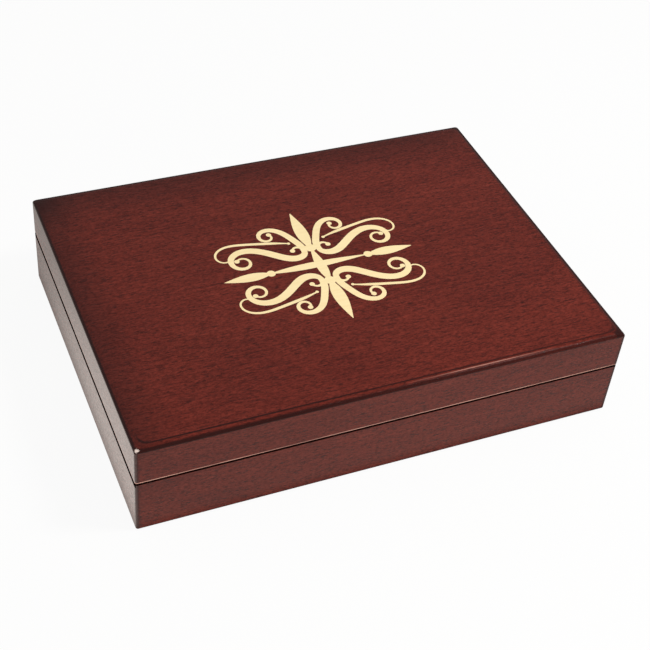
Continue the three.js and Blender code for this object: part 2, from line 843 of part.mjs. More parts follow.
function addHygrometer() {
  const x = hygrometerX;
  const caseTopZ = panelZ + caseDepth;
  const dialZ = panelZ + dialDepth;
  const needleZ = panelZ + needleDepth;
  const innerRadius = caseRadius - caseWall;
  const at = (geometry) => geometry.translate(x, 0, 0);

  const cup = [
    [innerRadius, panelZ],
    [caseRadius, panelZ],
    [caseRadius, caseTopZ],
    [calibrationRadius + calibrationClearance, caseTopZ],
    [calibrationRadius + calibrationClearance, caseTopZ - caseBack],
    [innerRadius, caseTopZ - caseBack],
    [innerRadius, panelZ],
  ];
  add('hygrometer_case', turned(cup, x, 0, instrumentSides), brass);

  const ringRadius = pocketRadius - ringClearance;
  const ring = hoop(caseRadius, ringRadius, panelZ, panelZ + ringHeight, x, 0, instrumentSides);
  add('hygrometer_rubber_ring', ring, rubber);

  const lensZ = panelZ - bezelHeight + bezelLip;
  const seatRadius = lensRadius + lensClearance;
  const bezel = [
    [bezelWindowRadius, panelZ - bezelHeight],
    [bezelRadius, panelZ - bezelHeight],
    [bezelRadius, panelZ],
    [seatRadius, panelZ],
    [seatRadius, lensZ],
    [bezelWindowRadius, lensZ],
    [bezelWindowRadius, panelZ - bezelHeight],
  ];
  add('hygrometer_bezel', turned(bezel, x, 0, instrumentSides), brass);
  add('hygrometer_lens', disc(lensRadius, lensZ, lensZ + lensThickness, x, 0, instrumentSides), clear);

  const holeRadius = arborRadius + arborClearance;
  const dial = hoop(holeRadius, innerRadius, dialZ, dialZ + dialThickness, x, 0, instrumentSides);
  add('hygrometer_dial', dial, dialWhite);

  // Turned half round, so that it points to the front, and on by its reading
  const pointer = prism(needleOutline(), needleZ, needleZ + needleThickness);
  pointer.rotateZ(Math.PI + THREE.MathUtils.degToRad(needleRestAngle));
  const hub = disc(needleHubRadius, needleZ, needleZ + needleHubThickness, 0, 0);
  const arbor = disc(arborRadius, needleZ, needleZ + arborLength, 0, 0);
  add('hygrometer_needle', at(join(pointer, hub, arbor)), needleBlack);

  add('humidity_coil', at(prism(coilOutline(), panelZ + coilDepth, panelZ + coilDepth + coilHeight)), brass);

  const screwTopZ = caseTopZ - caseBack + calibrationThickness;
  const head = disc(calibrationRadius, screwTopZ - calibrationThickness, screwTopZ, x, 0);
  const reach = calibrationRadius + overrun;
  const halfSlot = calibrationSlotWidth / 2;
  const slotZ = screwTopZ - calibrationSlotDepth;
  const slot = block(x - reach, x + reach, -halfSlot, halfSlot, slotZ, screwTopZ + overrun);
  add('calibration_screw', cut(head, slot), brass);
}

function addHinges() {
  const sideNames = ['left', 'right'];
  hingeXs.forEach((x, i) => {
    const side = sideNames[i];
    add(`${side}_hinge_base_leaf`, baseLeaf(x), brass);
    add(`${side}_hinge_lid_leaf`, lidLeaf(x), brass);
    add(`${side}_hinge_pin`, hingePin(x), brass);
    screwPlaces(x).forEach(([sx, sy], n) => {
      add(`${side}_hinge_base_screw_${n + 1}`, screw(sx, sy, rimZ, -1), brass);
      add(`${side}_hinge_lid_screw_${n + 1}`, screw(sx, sy, lidZ, 1), brass);
    });
  });
}

addBase();
addLining();
addDivider();
addLid();
addHumidifier();
addHygrometer();
addHinges();

export default humidor;
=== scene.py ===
# A low lacquered humidor with a cream inlay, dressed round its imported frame.
# Metres in Blender; sizes written in millimetres go through mm().

import math
from functools import partial

import bmesh
import bpy
from mathutils import Matrix, Vector
from mathutils.geometry import delaunay_2d_cdt


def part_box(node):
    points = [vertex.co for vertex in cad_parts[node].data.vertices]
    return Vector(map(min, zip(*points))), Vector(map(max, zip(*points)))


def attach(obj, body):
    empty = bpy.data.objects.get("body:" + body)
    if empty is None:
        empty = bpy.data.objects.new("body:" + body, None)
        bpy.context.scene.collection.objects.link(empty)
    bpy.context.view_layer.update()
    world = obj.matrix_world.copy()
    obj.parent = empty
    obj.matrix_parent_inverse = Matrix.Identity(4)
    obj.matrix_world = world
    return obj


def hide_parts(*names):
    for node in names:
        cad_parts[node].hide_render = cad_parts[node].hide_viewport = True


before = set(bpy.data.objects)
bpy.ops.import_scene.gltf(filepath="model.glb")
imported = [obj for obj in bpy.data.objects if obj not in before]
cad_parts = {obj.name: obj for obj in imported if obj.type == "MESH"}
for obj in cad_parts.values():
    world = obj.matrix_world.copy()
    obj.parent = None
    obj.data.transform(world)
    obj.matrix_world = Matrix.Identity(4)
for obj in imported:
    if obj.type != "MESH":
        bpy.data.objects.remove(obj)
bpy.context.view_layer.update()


def mm(*values):
    metres = [value * 0.001 for value in values]
    return metres[0] if len(metres) == 1 else metres


def sizes(table, *names):
    return mm(*(table[name] for name in names))


def axisOf(node):
    # A point on the upright line through the node's middle
    low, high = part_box(node)
    return Vector(((low.x + high.x) / 2, (low.y + high.y) / 2, 0.0))


def radiusOf(node):
    low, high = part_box(node)
    return (high.x - low.x) / 2


# Outer faces of the box from its middle, and the heights of the base's foot and rim, of the lid's lower edge
# and top, and of the lid panel's underside
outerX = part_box("base_right_wall")[1].x
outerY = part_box("base_back_wall")[1].y
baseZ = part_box("base_front_wall")[0].z
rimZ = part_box("base_front_wall")[1].z
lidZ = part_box("lid_front_rail")[0].z
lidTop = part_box("lid_top_board")[1].z
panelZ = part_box("lid_cedar_panel")[0].z


# Colour and node helpers

def linear(hexColour, alpha=1.0):
    # An sRGB hex colour as Blender's linear one
    parts = [int(hexColour[i:i + 2], 16) / 255 for i in (1, 3, 5)]
    return [p / 12.92 if p <= 0.04045 else ((p + 0.055) / 1.055) ** 2.4 for p in parts] + [alpha]


# For each kind of node: its type, the sockets that its inputs go to, the output that is read (all of them
# for None) and its own settings
nodeKinds = {
    "place": ("TexCoord", (), "Object", {}),
    "direction": ("TexCoord", (), "Generated", {}),
    "rays": ("LightPath", (), None, {}),
    "split": ("SeparateXYZ", (0,), None, {}),
    "stretch": ("Mapping", ("Vector", "Scale"), 0, {}),
    "noise": ("TexNoise", ("Vector", "Scale", "Detail", "Roughness", "Distortion"), 0, {}),
    "cells": ("TexVoronoi", ("Vector", "Scale", "Randomness"), "Distance", {}),
    "ramp": ("MapRange", (0, 1, 2, 3, 4), 0, {}),
    "softRamp": ("MapRange", (0, 1, 2, 3, 4), 0, {"interpolation_type": "SMOOTHSTEP"}),
    "sum": ("Math", (0, 1), 0, {"operation": "ADD"}),
    "difference": ("Math", (0, 1), 0, {"operation": "SUBTRACT"}),
    "product": ("Math", (0, 1), 0, {"operation": "MULTIPLY"}),
    "larger": ("Math", (0, 1), 0, {"operation": "MAXIMUM"}),
    "unsigned": ("Math", (0,), 0, {"operation": "ABSOLUTE"}),
    "distance": ("VectorMath", (0, 1), "Value", {"operation": "DISTANCE"}),
    "mix": ("Mix", (0, 6, 7), 2, {"data_type": "RGBA"}),
    "tint": ("Mix", (0, 6, 7), 2, {"data_type": "RGBA", "blend_type": "MULTIPLY"}),
    "bump": ("Bump", ("Height", "Distance", "Strength"), 0, {}),
    "principled": ("BsdfPrincipled", (), 0, {}),
    "diffuse": ("BsdfDiffuse", ("Color",), 0, {}),
    "emission": ("Emission", ("Color", "Strength"), 0, {}),
    "background": ("Background", ("Color", "Strength"), 0, {}),
    "shaders": ("MixShader", (0, 1, 2), 0, {}),
    "surface": ("OutputMaterial", ("Surface",), None, {}),
    "sky": ("OutputWorld", ("Surface",), None, {}),
}


def addNode(tree, kind, *inputs, **named):
    # An input is a socket to follow, a hex colour or a plain value
    name, sockets, output, settings = nodeKinds[kind]
    node = tree.nodes.new("ShaderNode" + name)
    for key, value in settings.items():
        setattr(node, key, value)
    for socket, value in [*zip(sockets, inputs), *named.items()]:
        if isinstance(value, bpy.types.NodeSocket):
            tree.links.new(value, node.inputs[socket])
        else:
            node.inputs[socket].default_value = linear(value) if isinstance(value, str) else value
    return node.outputs if output is None else node.outputs[output]


def makeMaterial(name, finish, *choices):
    # The finish adds its patterns with the material's own add and returns its shader
    material = bpy.data.materials.new(name)
    material.use_nodes = True
    material.node_tree.nodes.clear()
    add = partial(addNode, material.node_tree)
    add("surface", finish(add, add("place"), *choices))
    return material


def inTurn(add, kind, first, *others):
    # The terms joined in turn by one kind of node
    for other in others:
        first = add(kind, first, other)
    return first


def grain(add, place, along, stretch, period, *pattern):
    # Noise whose bumps are about one period of millimetres across, drawn out along one axis
    scale = [1 / stretch if axis == along else 1 for axis in "xyz"]
    return add("noise", add("stretch", place, scale), 1 / mm(period), *pattern)


def between(add, value, rise, risen, fall, fallen, level=1.0):
    # The level from risen to fall, and nothing before rise and after fallen
    return add("product", add("ramp", value, rise, risen), add("ramp", value, fall, fallen, level, 0.0))


# The usual low and high ends of noise
noiseReach = (0.3, 0.7)


def threeTones(add, broad, fine, tones, broadShare, turn, last):
    # Three colours in turn, by a broad and a fine pattern together
    broad = add("ramp", broad, *noiseReach, 0.0, broadShare)
    tone = add("sum", broad, add("ramp", fine, *noiseReach, 0.0, 1 - broadShare))
    first = add("mix", add("ramp", tone, 0.0, turn), *tones[:2])
    return add("mix", add("ramp", tone, turn, 1.0, 0.0, last), first, tones[2])


# Materials. A grain's values are its stretch, period, detail, roughness and distortion.

mahogany = {
    "tones": ("#621c13", "#75271a", "#843022"),
    "pore": "#2b0b08",
    # Colour of the darker stain and of the painted shade
    "stainAndShade": "#2f0d09",
    # Colour of the painted highlights
    "paleHighlight": "#f0b5a0",
    # Colour of the painted glint
    "glint": "#ead6ca",
    "grains": (
        (3.0, 30.0, 2.0, 0.5, 0.4), (14.0, 1.6, 4.0, 0.6), (6.0, 0.6, 2.0, 0.6), (2.2, 0.75, 3.0, 0.75),
    ),
    "poreReach": (0.5, 0.68, 0.0, 0.7),
    "fleckReach": (0.35, 0.62),
    "fleckShares": (0.62, 0.0),
    "reliefDepth": 0.016,
    "reliefStrength": 0.5,
    "roughness": 0.21,
    "specular": 0.27,
    "lacquer": 0.55,
    # Depths below the top where a line starts, is full, starts to end and is gone
    "fineLine": (0.012, 0.04, 0.09, 0.17),
    "band": (0.35, 0.8, 2.05, 2.3),
    "farBand": (0.08, 0.25, 2.05, 2.3),
    "highlightLine": (0.24, 0.3, 0.38, 0.44),
    "highlightAlong": (5.0, 35.0, 55.0, 88.0),
    "highlightAcross": (8.0, 10.0),
    "highlightShare": 0.45,
    "fadeShares": (-0.4, 0.8),
    "fadedBand": 0.75,
    "frontReach": (6.0, 12.0),
    "innerLine": 0.4,
    "farReach": (7.0, 5.0),
    "cornerWidth": 2.6,
    "cornerEaseShare": 0.4,
    "cornerStain": 0.85,
    "footReach": (0.3, 0.8),
    "footShade": 0.9,
    "leftShadeWidth": 25.5,
    "leftShade": 0.5,
    "backShadeWidth": 34.0,
    "backShade": 0.55,
    "highlightBelow": 0.1,
    "highlightHeight": {"x": 0.8, "y": 1.2},
    "highlightFullShare": 0.6,
    "highlightWidth": 0.9,
    "highlightEaseShare": 0.7,
    "highlightRun": 24.0,
    "highlightRunReach": (0.35, 0.6, 0.5, 1.0),
    "glintPlace": (-125.7, -94.0, 53.6),
    "glintRadius": 1.2,
    "glintFullShare": 0.8,
    "glintRaggedness": 3.0,
    "glintPeriod": 0.8,
}


def nearFaces(add, spot, width, easeShare):
    # For the faces across X and for those across Y: one close to them, nothing a width further in
    for axis, reach in ((0, outerX), (1, outerY)):
        away = add("unsigned", spot[axis])
        yield add("ramp", away, reach - width, reach - width * easeShare)


def edgeStain(add, spot, depth):
    # Darker stain and painted shade on the lid's rounded edge: a fine line where the rounding starts and a
    # band down to the side, both fading towards the right end of the front, the line also away from the
    # front. At the back and on the right the band is dark from the start of the rounding.
    m = mahogany
    line, band, farBand = (between(add, depth, *mm(*m[key])) for key in ("fineLine", "band", "farBand"))
    fading = add("ramp", spot[0], *(outerX * share for share in m["fadeShares"]), 1.0, m["fadedBand"])
    inward = add("ramp", spot[1], *(reach - outerY for reach in mm(*m["frontReach"])))
    line = add("product", line, add("ramp", inward, 0.0, 1.0, 1.0, m["innerLine"]))
    near = add("product", add("larger", line, band), add("larger", fading, inward))
    back = add("ramp", spot[1], *(outerY - reach for reach in mm(*m["farReach"])))
    right = add("ramp", spot[0], *(outerX - reach for reach in mm(*m["farReach"])))
    return add("larger", near, add("product", add("larger", back, right), farBand))


def cornerStain(add, spot):
    # The upright corners are a little darker too, and painted shade darkens the base's lowest edge
    m = mahogany
    corners = nearFaces(add, spot, mm(m["cornerWidth"]), m["cornerEaseShare"])
    # Painted shade along the base's lowest edge, where it meets the floor
    foot = add("ramp", spot[2], *(baseZ + reach for reach in mm(*m["footReach"])), m["footShade"], 0.0)
    return add("larger", inTurn(add, "product", *corners, m["cornerStain"]), foot)


def cornerShade(add, spot):
    # Painted shade: the top is a little darker towards its left and back edges
    m = mahogany
    left = add("softRamp", spot[0], -outerX, mm(m["leftShadeWidth"]) - outerX, m["leftShade"], 0.0)
    back = add("softRamp", spot[1], outerY - mm(m["backShadeWidth"]), outerY, 0.0, m["backShade"])
    return add("product", add("sum", left, back), add("ramp", spot[2], panelZ, lidTop))


def wornEdge(add, spot, depth, run):
    # Painted highlight: a fine pale line, broken in places, along the right half of the lid's front edge
    m = mahogany
    line = between(add, depth, *mm(*m["highlightLine"]), m["highlightShare"])
    stretch = between(add, spot[0], *mm(*m["highlightAlong"]))
    front = add("ramp", spot[1], *(reach - outerY for reach in mm(*m["highlightAcross"])), 1.0, 0.0)
    return inTurn(add, "product", line, run, add("product", stretch, front))


def rubbedEdge(add, spot, run, along):
    # Painted highlight: a pale strip, broken in places, along the lowest part of the lid's outer faces
    m = mahogany
    height = mm(m["highlightHeight"][along])
    full = lidZ + height * m["highlightFullShare"]
    strip = between(add, spot[2], lidZ - mm(m["highlightBelow"]), lidZ, full, lidZ + height)
    edge = add("larger", *nearFaces(add, spot, mm(m["highlightWidth"]), m["highlightEaseShare"]))
    return add("product", strip, add("product", edge, run))


def chippedCorner(add, place):
    # Painted glint: a pale spot with a ragged outline at the front left corner
    m = mahogany
    corner = add("distance", place, mm(*m["glintPlace"]))
    ragged = add("product", add("noise", place, 1 / mm(m["glintPeriod"])), mm(m["glintRaggedness"]))
    reach = add("sum", corner, ragged)
    size = mm(m["glintRadius"] + m["glintRaggedness"] / 2)
    return add("ramp", reach, size * m["glintFullShare"], size, 1.0, 0.0)


def lacqueredMahogany(add, place, along):
    # Red-stained mahogany under a glossy lacquer: an even red brown with faint straight streaks and short
    # dark pores, greyed by reflections at a glancing angle that thin over the pores. Its colour holds
    # painted shade and a darker stain along the lid's edges, painted shade along the base's foot, darker
    # upright corners, painted pale highlights along the lid's front and lower edges and a painted glint at
    # one corner.
    # The pores are drawn about twice as coarse as real ones, so that they show.
    m = mahogany
    broad, streak, pore, fleck = (grain(add, place, along, *values) for values in m["grains"])
    wood = threeTones(add, broad, streak, m["tones"], broadShare=0.4, turn=0.5, last=1.0)
    pored = add("mix", add("ramp", pore, *m["poreReach"]), wood, m["pore"])
    flecked = add("mix", add("ramp", fleck, *m["fleckReach"], *m["fleckShares"]), pored, m["pore"])
    spot = add("split", place)
    depth = add("difference", lidTop, spot[2])
    # Darker stain and painted shade
    dark = inTurn(add, "larger", edgeStain(add, spot, depth), cornerShade(add, spot), cornerStain(add, spot))
    # Noise that breaks the painted highlight lines in places
    run = add("ramp", add("noise", place, 1 / mm(m["highlightRun"]), 3.0), *m["highlightRunReach"])
    pale = add("larger", rubbedEdge(add, spot, run, along), wornEdge(add, spot, depth, run))
    withPaintedLight = add("mix", pale, add("mix", dark, flecked, m["stainAndShade"]), m["paleHighlight"])
    relief = add("bump", add("sum", pore, fleck), mm(m["reliefDepth"]), m["reliefStrength"])
    return add("principled", **{
        "Base Color": add("mix", chippedCorner(add, place), withPaintedLight, m["glint"]),
        "Roughness": add("ramp", fleck, *noiseReach, m["roughness"] + 0.06, m["roughness"] - 0.04),
        "Specular IOR Level": m["specular"],
        "Normal": relief,
        "Coat Weight": add("ramp", fleck, *m["fleckReach"], m["lacquer"] - 0.3, m["lacquer"] + 0.25),
        "Coat Roughness": m["roughness"],
        "Coat Normal": relief,
    })


joint = {
    "seamShadow": "#170604",
    "seamDust": "#0c0303",
    "dustPeriod": 0.8,
    "height": {"x": 0.6, "y": 2.2},
    "leastOutward": 0.1,
}


def waxedJoint(add, place):
    # Painted shadow of the gap between lid and base, with dark dust in it, on the rim's outer edge: a black
    # brown, dead matt.
    seamDust = add("noise", place, 1 / mm(joint["dustPeriod"]), 3.0)
    colour = add("mix", add("ramp", seamDust, *noiseReach), joint["seamShadow"], joint["seamDust"])
    return add("principled", **{"Base Color": colour, "Roughness": 1.0, "Specular IOR Level": 0.0})


cedar = {
    "tones": ("#dcae86", "#c68d62", "#9c6440"),
    "grains": ((3.0, 38.0, 2.0), (22.0, 4.2, 3.0, 0.6, 0.6), (7.0, 0.45, 1.0)),
    "roughness": 0.68,
}


def planedCedar(add, place, along):
    # Bare planed Spanish cedar: warm pinkish brown with soft growth lines and open pores, quite matt.
    c = cedar
    broad, ring, pore = (grain(add, place, along, *values) for values in c["grains"])
    wood = threeTones(add, broad, ring, c["tones"], broadShare=0.3, turn=0.55, last=0.7)
    return add("principled", **{
        "Base Color": add("mix", add("ramp", pore, 0.56, 0.75, 0.0, 0.5), wood, c["tones"][2]),
        "Roughness": add("ramp", ring, *noiseReach, c["roughness"] - 0.06, c["roughness"] + 0.08),
        "Specular IOR Level": 0.35,
        "Normal": add("bump", pore, mm(0.05), 0.6),
    })


def lacqueredHolly(add, place):
    # Pale holly veneer under the same lacquer: an even cream with hardly any figure.
    line = grain(add, place, "x", 14.0, 1.6, 3.0)
    return add("principled", **{
        "Base Color": add("mix", add("ramp", line, 0.4, 0.75, 0.0, 0.35), "#ffe8b3", "#efd092"),
        "Roughness": 0.36,
        "Specular IOR Level": 0.3,
        "Normal": add("bump", line, mm(0.01), 0.3),
    })


def polishedBrass(add, place):
    # Solid brass polished and left bare: a warm yellow metal, drawn softer along hair-fine polishing lines
    # and dulled in clouds by a little tarnish.
    line = grain(add, place, "x", 30.0, 0.3, 2.0)
    cloud = add("noise", place, 1 / mm(5.0), 3.0, 0.6)
    return add("principled", **{
        "Base Color": add("mix", add("ramp", cloud, 0.35, 0.8), "#e6c283", "#cfa562"),
        "Metallic": 1.0,
        "Roughness": add("ramp", add("sum", line, cloud), 0.7, 1.3, 0.24, 0.34),
        "Normal": add("bump", line, mm(0.002), 0.15),
    })


def nickelPlate(add, place):
    # Nickel-plated steel, bright and slightly clouded.
    cloud = add("noise", place, 1 / mm(1.5), 3.0)
    return add("principled", **{
        "Base Color": add("mix", cloud, "#b9bbbd", "#96989b"),
        "Metallic": 1.0,
        "Roughness": add("ramp", cloud, *noiseReach, 0.2, 0.36),
    })


def mouldedPlastic(add, place, colours, roughness, grit):
    # Injection-moulded ABS with a spark-eroded texture: fine pimples that break up the highlight.
    texture = add("noise", place, 1 / mm(grit), 2.0, 0.6)
    return add("principled", **{
        "Base Color": add("mix", add("ramp", texture, *noiseReach), *colours),
        "Roughness": add("ramp", texture, *noiseReach, roughness - 0.06, roughness + 0.08),
        "Normal": add("bump", texture, mm(0.04), 0.5),
    })


def openCellFoam(add, place):
    # Green phenolic flower foam: crumbly open cells, dull all over.
    cell = add("cells", place, 1 / mm(0.7), 1.0)
    return add("principled", **{
        "Base Color": add("mix", add("ramp", cell, 0.1, 0.6), "#2f4a2c", "#5f8052"),
        "Roughness": 0.95,
        "Specular IOR Level": 0.15,
        "Normal": add("bump", cell, mm(0.25), 0.9),
    })


def woolFelt(add, place):
    # Pressed wool felt: a dark green mat of crossing fibres with a soft nap at the rim.
    fibre = add("larger", *(grain(add, place, along, 6.0, 0.5, 3.0, 0.7, 1.5) for along in "xy"))
    return add("principled", **{
        "Base Color": add("mix", add("ramp", fibre, 0.45, 0.75), "#15291c", "#2f4b37"),
        "Roughness": 0.95,
        "Specular IOR Level": 0.1,
        "Sheen Weight": 0.4,
        "Sheen Roughness": 0.5,
        "Normal": add("bump", fibre, mm(0.15), 0.8),
    })


def clearGlass(add, place):
    # Thin flat instrument glass: clear straight through, with its own reflections.
    smear = add("ramp", add("noise", place, 1 / mm(9.0), 2.0), *noiseReach, 0.02, 0.06)
    return add("principled", **{"Base Color": "#0e0f10", "Roughness": smear, "IOR": 1.5, "Alpha": 0.14})


def enamel(add, place, colours, roughness):
    # Sprayed enamel on thin metal, with a faint eggshell texture.
    eggshell = add("noise", place, 1 / mm(0.4), 2.0)
    return add("principled", **{
        "Base Color": add("mix", eggshell, *colours),
        "Roughness": roughness,
        "Normal": add("bump", eggshell, mm(0.005), 0.4),
    })


finishes = {
    "mahoganyX": ("lacquered_mahogany_along_x", lacqueredMahogany, "x"),
    "mahoganyY": ("lacquered_mahogany_along_y", lacqueredMahogany, "y"),
    "joint": ("waxed_joint", waxedJoint),
    "cedarX": ("planed_cedar_along_x", planedCedar, "x"),
    "cedarY": ("planed_cedar_along_y", planedCedar, "y"),
    "inlay": ("lacquered_holly", lacqueredHolly),
    "brass": ("polished_brass", polishedBrass),
    "nickel": ("nickel_plated_steel", nickelPlate),
    "plastic": ("moulded_black_plastic", mouldedPlastic, ("#191817", "#24221f"), 0.42, 0.5),
    "rubber": ("moulded_rubber", mouldedPlastic, ("#121212", "#1c1b1a"), 0.72, 0.9),
    "foam": ("flower_foam", openCellFoam),
    "felt": ("wool_felt", woolFelt),
    "glass": ("instrument_glass", clearGlass),
    "dial": ("dial_enamel", enamel, ("#f3f0e6", "#ebe7da"), 0.5),
    "ink": ("dial_ink", enamel, ("#161616", "#202020"), 0.55),
    "needle": ("needle_enamel", enamel, ("#121212", "#1b1b1b"), 0.35),
}
materials = {key: makeMaterial(*finish) for key, finish in finishes.items()}
print("materials made:", len(materials))


# Mesh helpers. Points this close are one point, a tool runs this far past what it cuts, and an outline's
# corners are sharper than this.

closeBy = mm(0.001)
overrun = mm(1.0)
cornerAngle = math.radians(30)


def newObject(mesh, name):
    piece = bpy.data.objects.new(name, mesh)
    bpy.context.scene.collection.objects.link(piece)
    return piece


def toObject(bm, name, material, sharpAngle=34.0):
    # The bmesh as an object at the origin, smooth up to the sharp angle, its flat faces shaded flat
    bmesh.ops.remove_doubles(bm, verts=bm.verts, dist=closeBy / 2)
    bmesh.ops.recalc_face_normals(bm, faces=bm.faces)
    mesh = bpy.data.meshes.new(name)
    bm.to_mesh(mesh)
    bm.free()
    if material:
        mesh.materials.append(material)
    piece = newObject(mesh, name)
    shade(piece, sharpAngle)
    return piece


def shade(piece, sharpAngle=34.0):
    piece.data.shade_smooth()
    piece.data.set_sharp_from_angle(angle=math.radians(sharpAngle))
    even = piece.modifiers.new("evenNormals", "WEIGHTED_NORMAL")
    even.keep_sharp = True


def carve(piece, tool, operation="DIFFERENCE", keepTool=False):
    # Cuts or joins with a tool object, which goes afterwards unless it is kept
    piece.modifiers.clear()
    step = piece.modifiers.new("carve", "BOOLEAN")
    step.object = tool
    step.operation = operation
    step.solver = "EXACT"
    settled = piece.evaluated_get(bpy.context.evaluated_depsgraph_get())
    material = piece.data.materials[0]
    mesh = bpy.data.meshes.new_from_object(settled)
    piece.modifiers.clear()
    mesh.materials.clear()
    mesh.materials.append(material)
    mesh.polygons.foreach_set("material_index", [0] * len(mesh.polygons))
    piece.data = mesh
    if not keepTool:
        bpy.data.objects.remove(tool)
    shade(piece)


def dress(piece, body, slot, *nodes):
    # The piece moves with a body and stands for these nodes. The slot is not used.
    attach(piece, body)
    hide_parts(*nodes)


def quarter(centreInset, centreZ, radius, fromDegrees, toDegrees, steps=4):
    # Points of an eased edge, each an inset and a height
    points = []
    for i in range(steps + 1):
        angle = math.radians(fromDegrees + (toDegrees - fromDegrees) * i / steps)
        points.append((centreInset + radius * math.cos(angle), centreZ + radius * math.sin(angle)))
    return points


def discProfile(radius, low, high, ease=0.0):
    # Half the section of a plug or disc, from its axis
    side = [(radius, low + ease), (radius, high - ease)]
    if ease:
        side = [(radius - ease, low), *side, (radius - ease, high)]
    return [(0, low), *side, (0, high)]


def roundedLoop(bm, halfX, halfY, radius, z, centre=(0.0, 0.0)):
    # Edges of a level rectangle with rounded corners
    there = set(bm.faces)
    corners = [
        bm.verts.new((centre[0] + sx * halfX, centre[1] + sy * halfY, z))
        for sx, sy in ((1, 1), (-1, 1), (-1, -1), (1, -1))
    ]
    bm.faces.new(corners)
    bmesh.ops.bevel(bm, geom=corners, offset=radius, segments=6, profile=0.5, affect="VERTICES", material=-1)
    face = (set(bm.faces) - there).pop()
    edges = list(face.edges)
    bmesh.ops.delete(bm, geom=[face], context="FACES_ONLY")
    return edges


def bridge(bm, loops, closed):
    # Joins the loops in turn; two at one height are bridged with one of them lifted for the time
    following = loops[1:] + loops[:1] if closed else loops[1:]
    for first, second in zip(loops, following):
        points = list({point for edge in second for point in edge.verts})
        level = abs(points[0].co.z - first[0].verts[0].co.z) < 10 * closeBy
        lift = Vector((0, 0, overrun if level else 0.0))
        bmesh.ops.translate(bm, verts=points, vec=lift)
        bmesh.ops.bridge_loops(bm, edges=first + second)
        bmesh.ops.translate(bm, verts=points, vec=-lift)
    if not closed:
        bmesh.ops.holes_fill(bm, edges=loops[0] + loops[-1], sides=0)


def easeEdges(bm, edges, ease):
    bmesh.ops.bevel(bm, geom=edges, offset=ease, segments=2, profile=0.5, affect="EDGES", material=-1)


def push(bm, faces, way):
    # Extrudes the faces one way and returns a face of the new end
    new = bmesh.ops.extrude_face_region(bm, geom=faces)["geom"]
    bmesh.ops.translate(bm, verts=[item for item in new if isinstance(item, bmesh.types.BMVert)], vec=way)
    return next(item for item in new if isinstance(item, bmesh.types.BMFace))


def block(name, low, high, material=None, ease=0.0):
    # A straight board or plate with all its edges eased
    bm = bmesh.new()
    size = [b - a for a, b in zip(low, high)]
    middle = [(a + b) / 2 for a, b in zip(low, high)]
    bmesh.ops.create_cube(bm, size=1.0, matrix=Matrix.Translation(middle) @ Matrix.Diagonal((*size, 1.0)))
    if ease:
        easeEdges(bm, list(bm.edges), ease)
    return toObject(bm, name, material)


def extruded(name, outline, along, start, end, material, ease):
    # An outline drawn across one axis and pushed along it, with its edges eased
    def place(a, b, at):
        spot = [a, b]
        spot.insert("xyz".index(along), at)
        return spot
    bm = bmesh.new()
    face = bm.faces.new([bm.verts.new(place(a, b, start)) for a, b in outline])
    push(bm, [face], place(0, 0, end - start))
    bmesh.ops.recalc_face_normals(bm, faces=bm.faces)
    easeEdges(bm, [edge for edge in bm.edges if edge.calc_face_angle(0.0) > cornerAngle], ease)
    return toObject(bm, name, material)


def turned(name, profile, centre, material=None, axis="z", steps=64, sharpAngle=34.0):
    # A profile of radius and height spun about an axis through the centre
    bm = bmesh.new()
    ring = [bm.verts.new((radius, 0.0, height)) for radius, height in profile]
    edges = [bm.edges.new(pair) for pair in zip(ring, ring[1:])]
    bmesh.ops.spin(
        bm, geom=ring + edges, cent=(0, 0, 0), axis=(0, 0, 1), angle=math.tau, steps=steps, use_merge=True,
    )
    if axis == "x":
        bmesh.ops.rotate(bm, verts=bm.verts, cent=(0, 0, 0), matrix=Matrix.Rotation(math.pi / 2, 3, "Y"))
    bmesh.ops.translate(bm, verts=bm.verts, vec=centre)
    return toObject(bm, name, material, sharpAngle)


# Camera

camera = {
    "place": (-233.5, -482.0, 498.3),
    "azimuth": -26.47,
    "pitch": 42.23,
    "roll": 6.09,
    "lens": 74.7,
    "sensor": 36.0,
    "clip": (0.01, 100.0),
}


def makeCamera():
    data = bpy.data.cameras.new("camera")
    data.lens = camera["lens"]
    data.sensor_width = camera["sensor"]
    data.clip_start, data.clip_end = camera["clip"]
    eye = newObject(data, "camera")
    turn = Matrix.Rotation(math.radians(camera["azimuth"]), 4, "Z")
    tip = Matrix.Rotation(math.radians(90 - camera["pitch"]), 4, "X")
    roll = Matrix.Rotation(math.radians(camera["roll"]), 4, "Z")
    eye.matrix_world = Matrix.Translation(mm(*camera["place"])) @ turn @ tip @ roll
    bpy.context.scene.camera = eye


# Values that the boards and the hinges share

hinges = {
    "hands": ("left", "right"),
    "leafThickness": 1.2,
    "leafEase": 0.15,
    "easeShortOf": 0.05,
    "easeAbove": 50,
    "mortiseClearance": 0.1,
    "knuckleRadius": 1.9,
    "middleKnuckleHalf": 8.7,
    "knuckleEndGap": 0.3,
    "pinRadius": 0.9,
    "pinClearance": 0.06,
    "pinHeadRadius": 1.5,
    "pinHeadLength": 1.1,
    "pinHeadSteps": 6,
    "heelLength": 2.9,
    "lidStopAngle": 95,
    "screwHeadRadius": 2.1,
    "screwShankRadius": 1.0,
    "screwLength": 8.0,
    "screwSink": 0.05,
    "screwClearance": 0.05,
    "screwSlotWidth": 0.6,
    "screwSlotDepth": 0.5,
    "screwSlotTurns": (12, -38, 71, 24, -9, 52, -66, 33),
    "roundSteps": 40,
}


def screwProfile(z, direction, grow, above):
    # Half a countersunk screw: its head's face at z, its point down for direction -1 and up for 1
    head, shank, length = sizes(hinges, "screwHeadRadius", "screwShankRadius", "screwLength")
    neckZ = z + direction * (head - shank)
    tipZ = z + direction * (length + grow)
    return [
        (0, z - direction * above), (head + grow, z - direction * above), (head + grow, z),
        (shank + grow, neckZ), (shank + grow, tipZ - direction * shank), (0, tipZ),
    ]


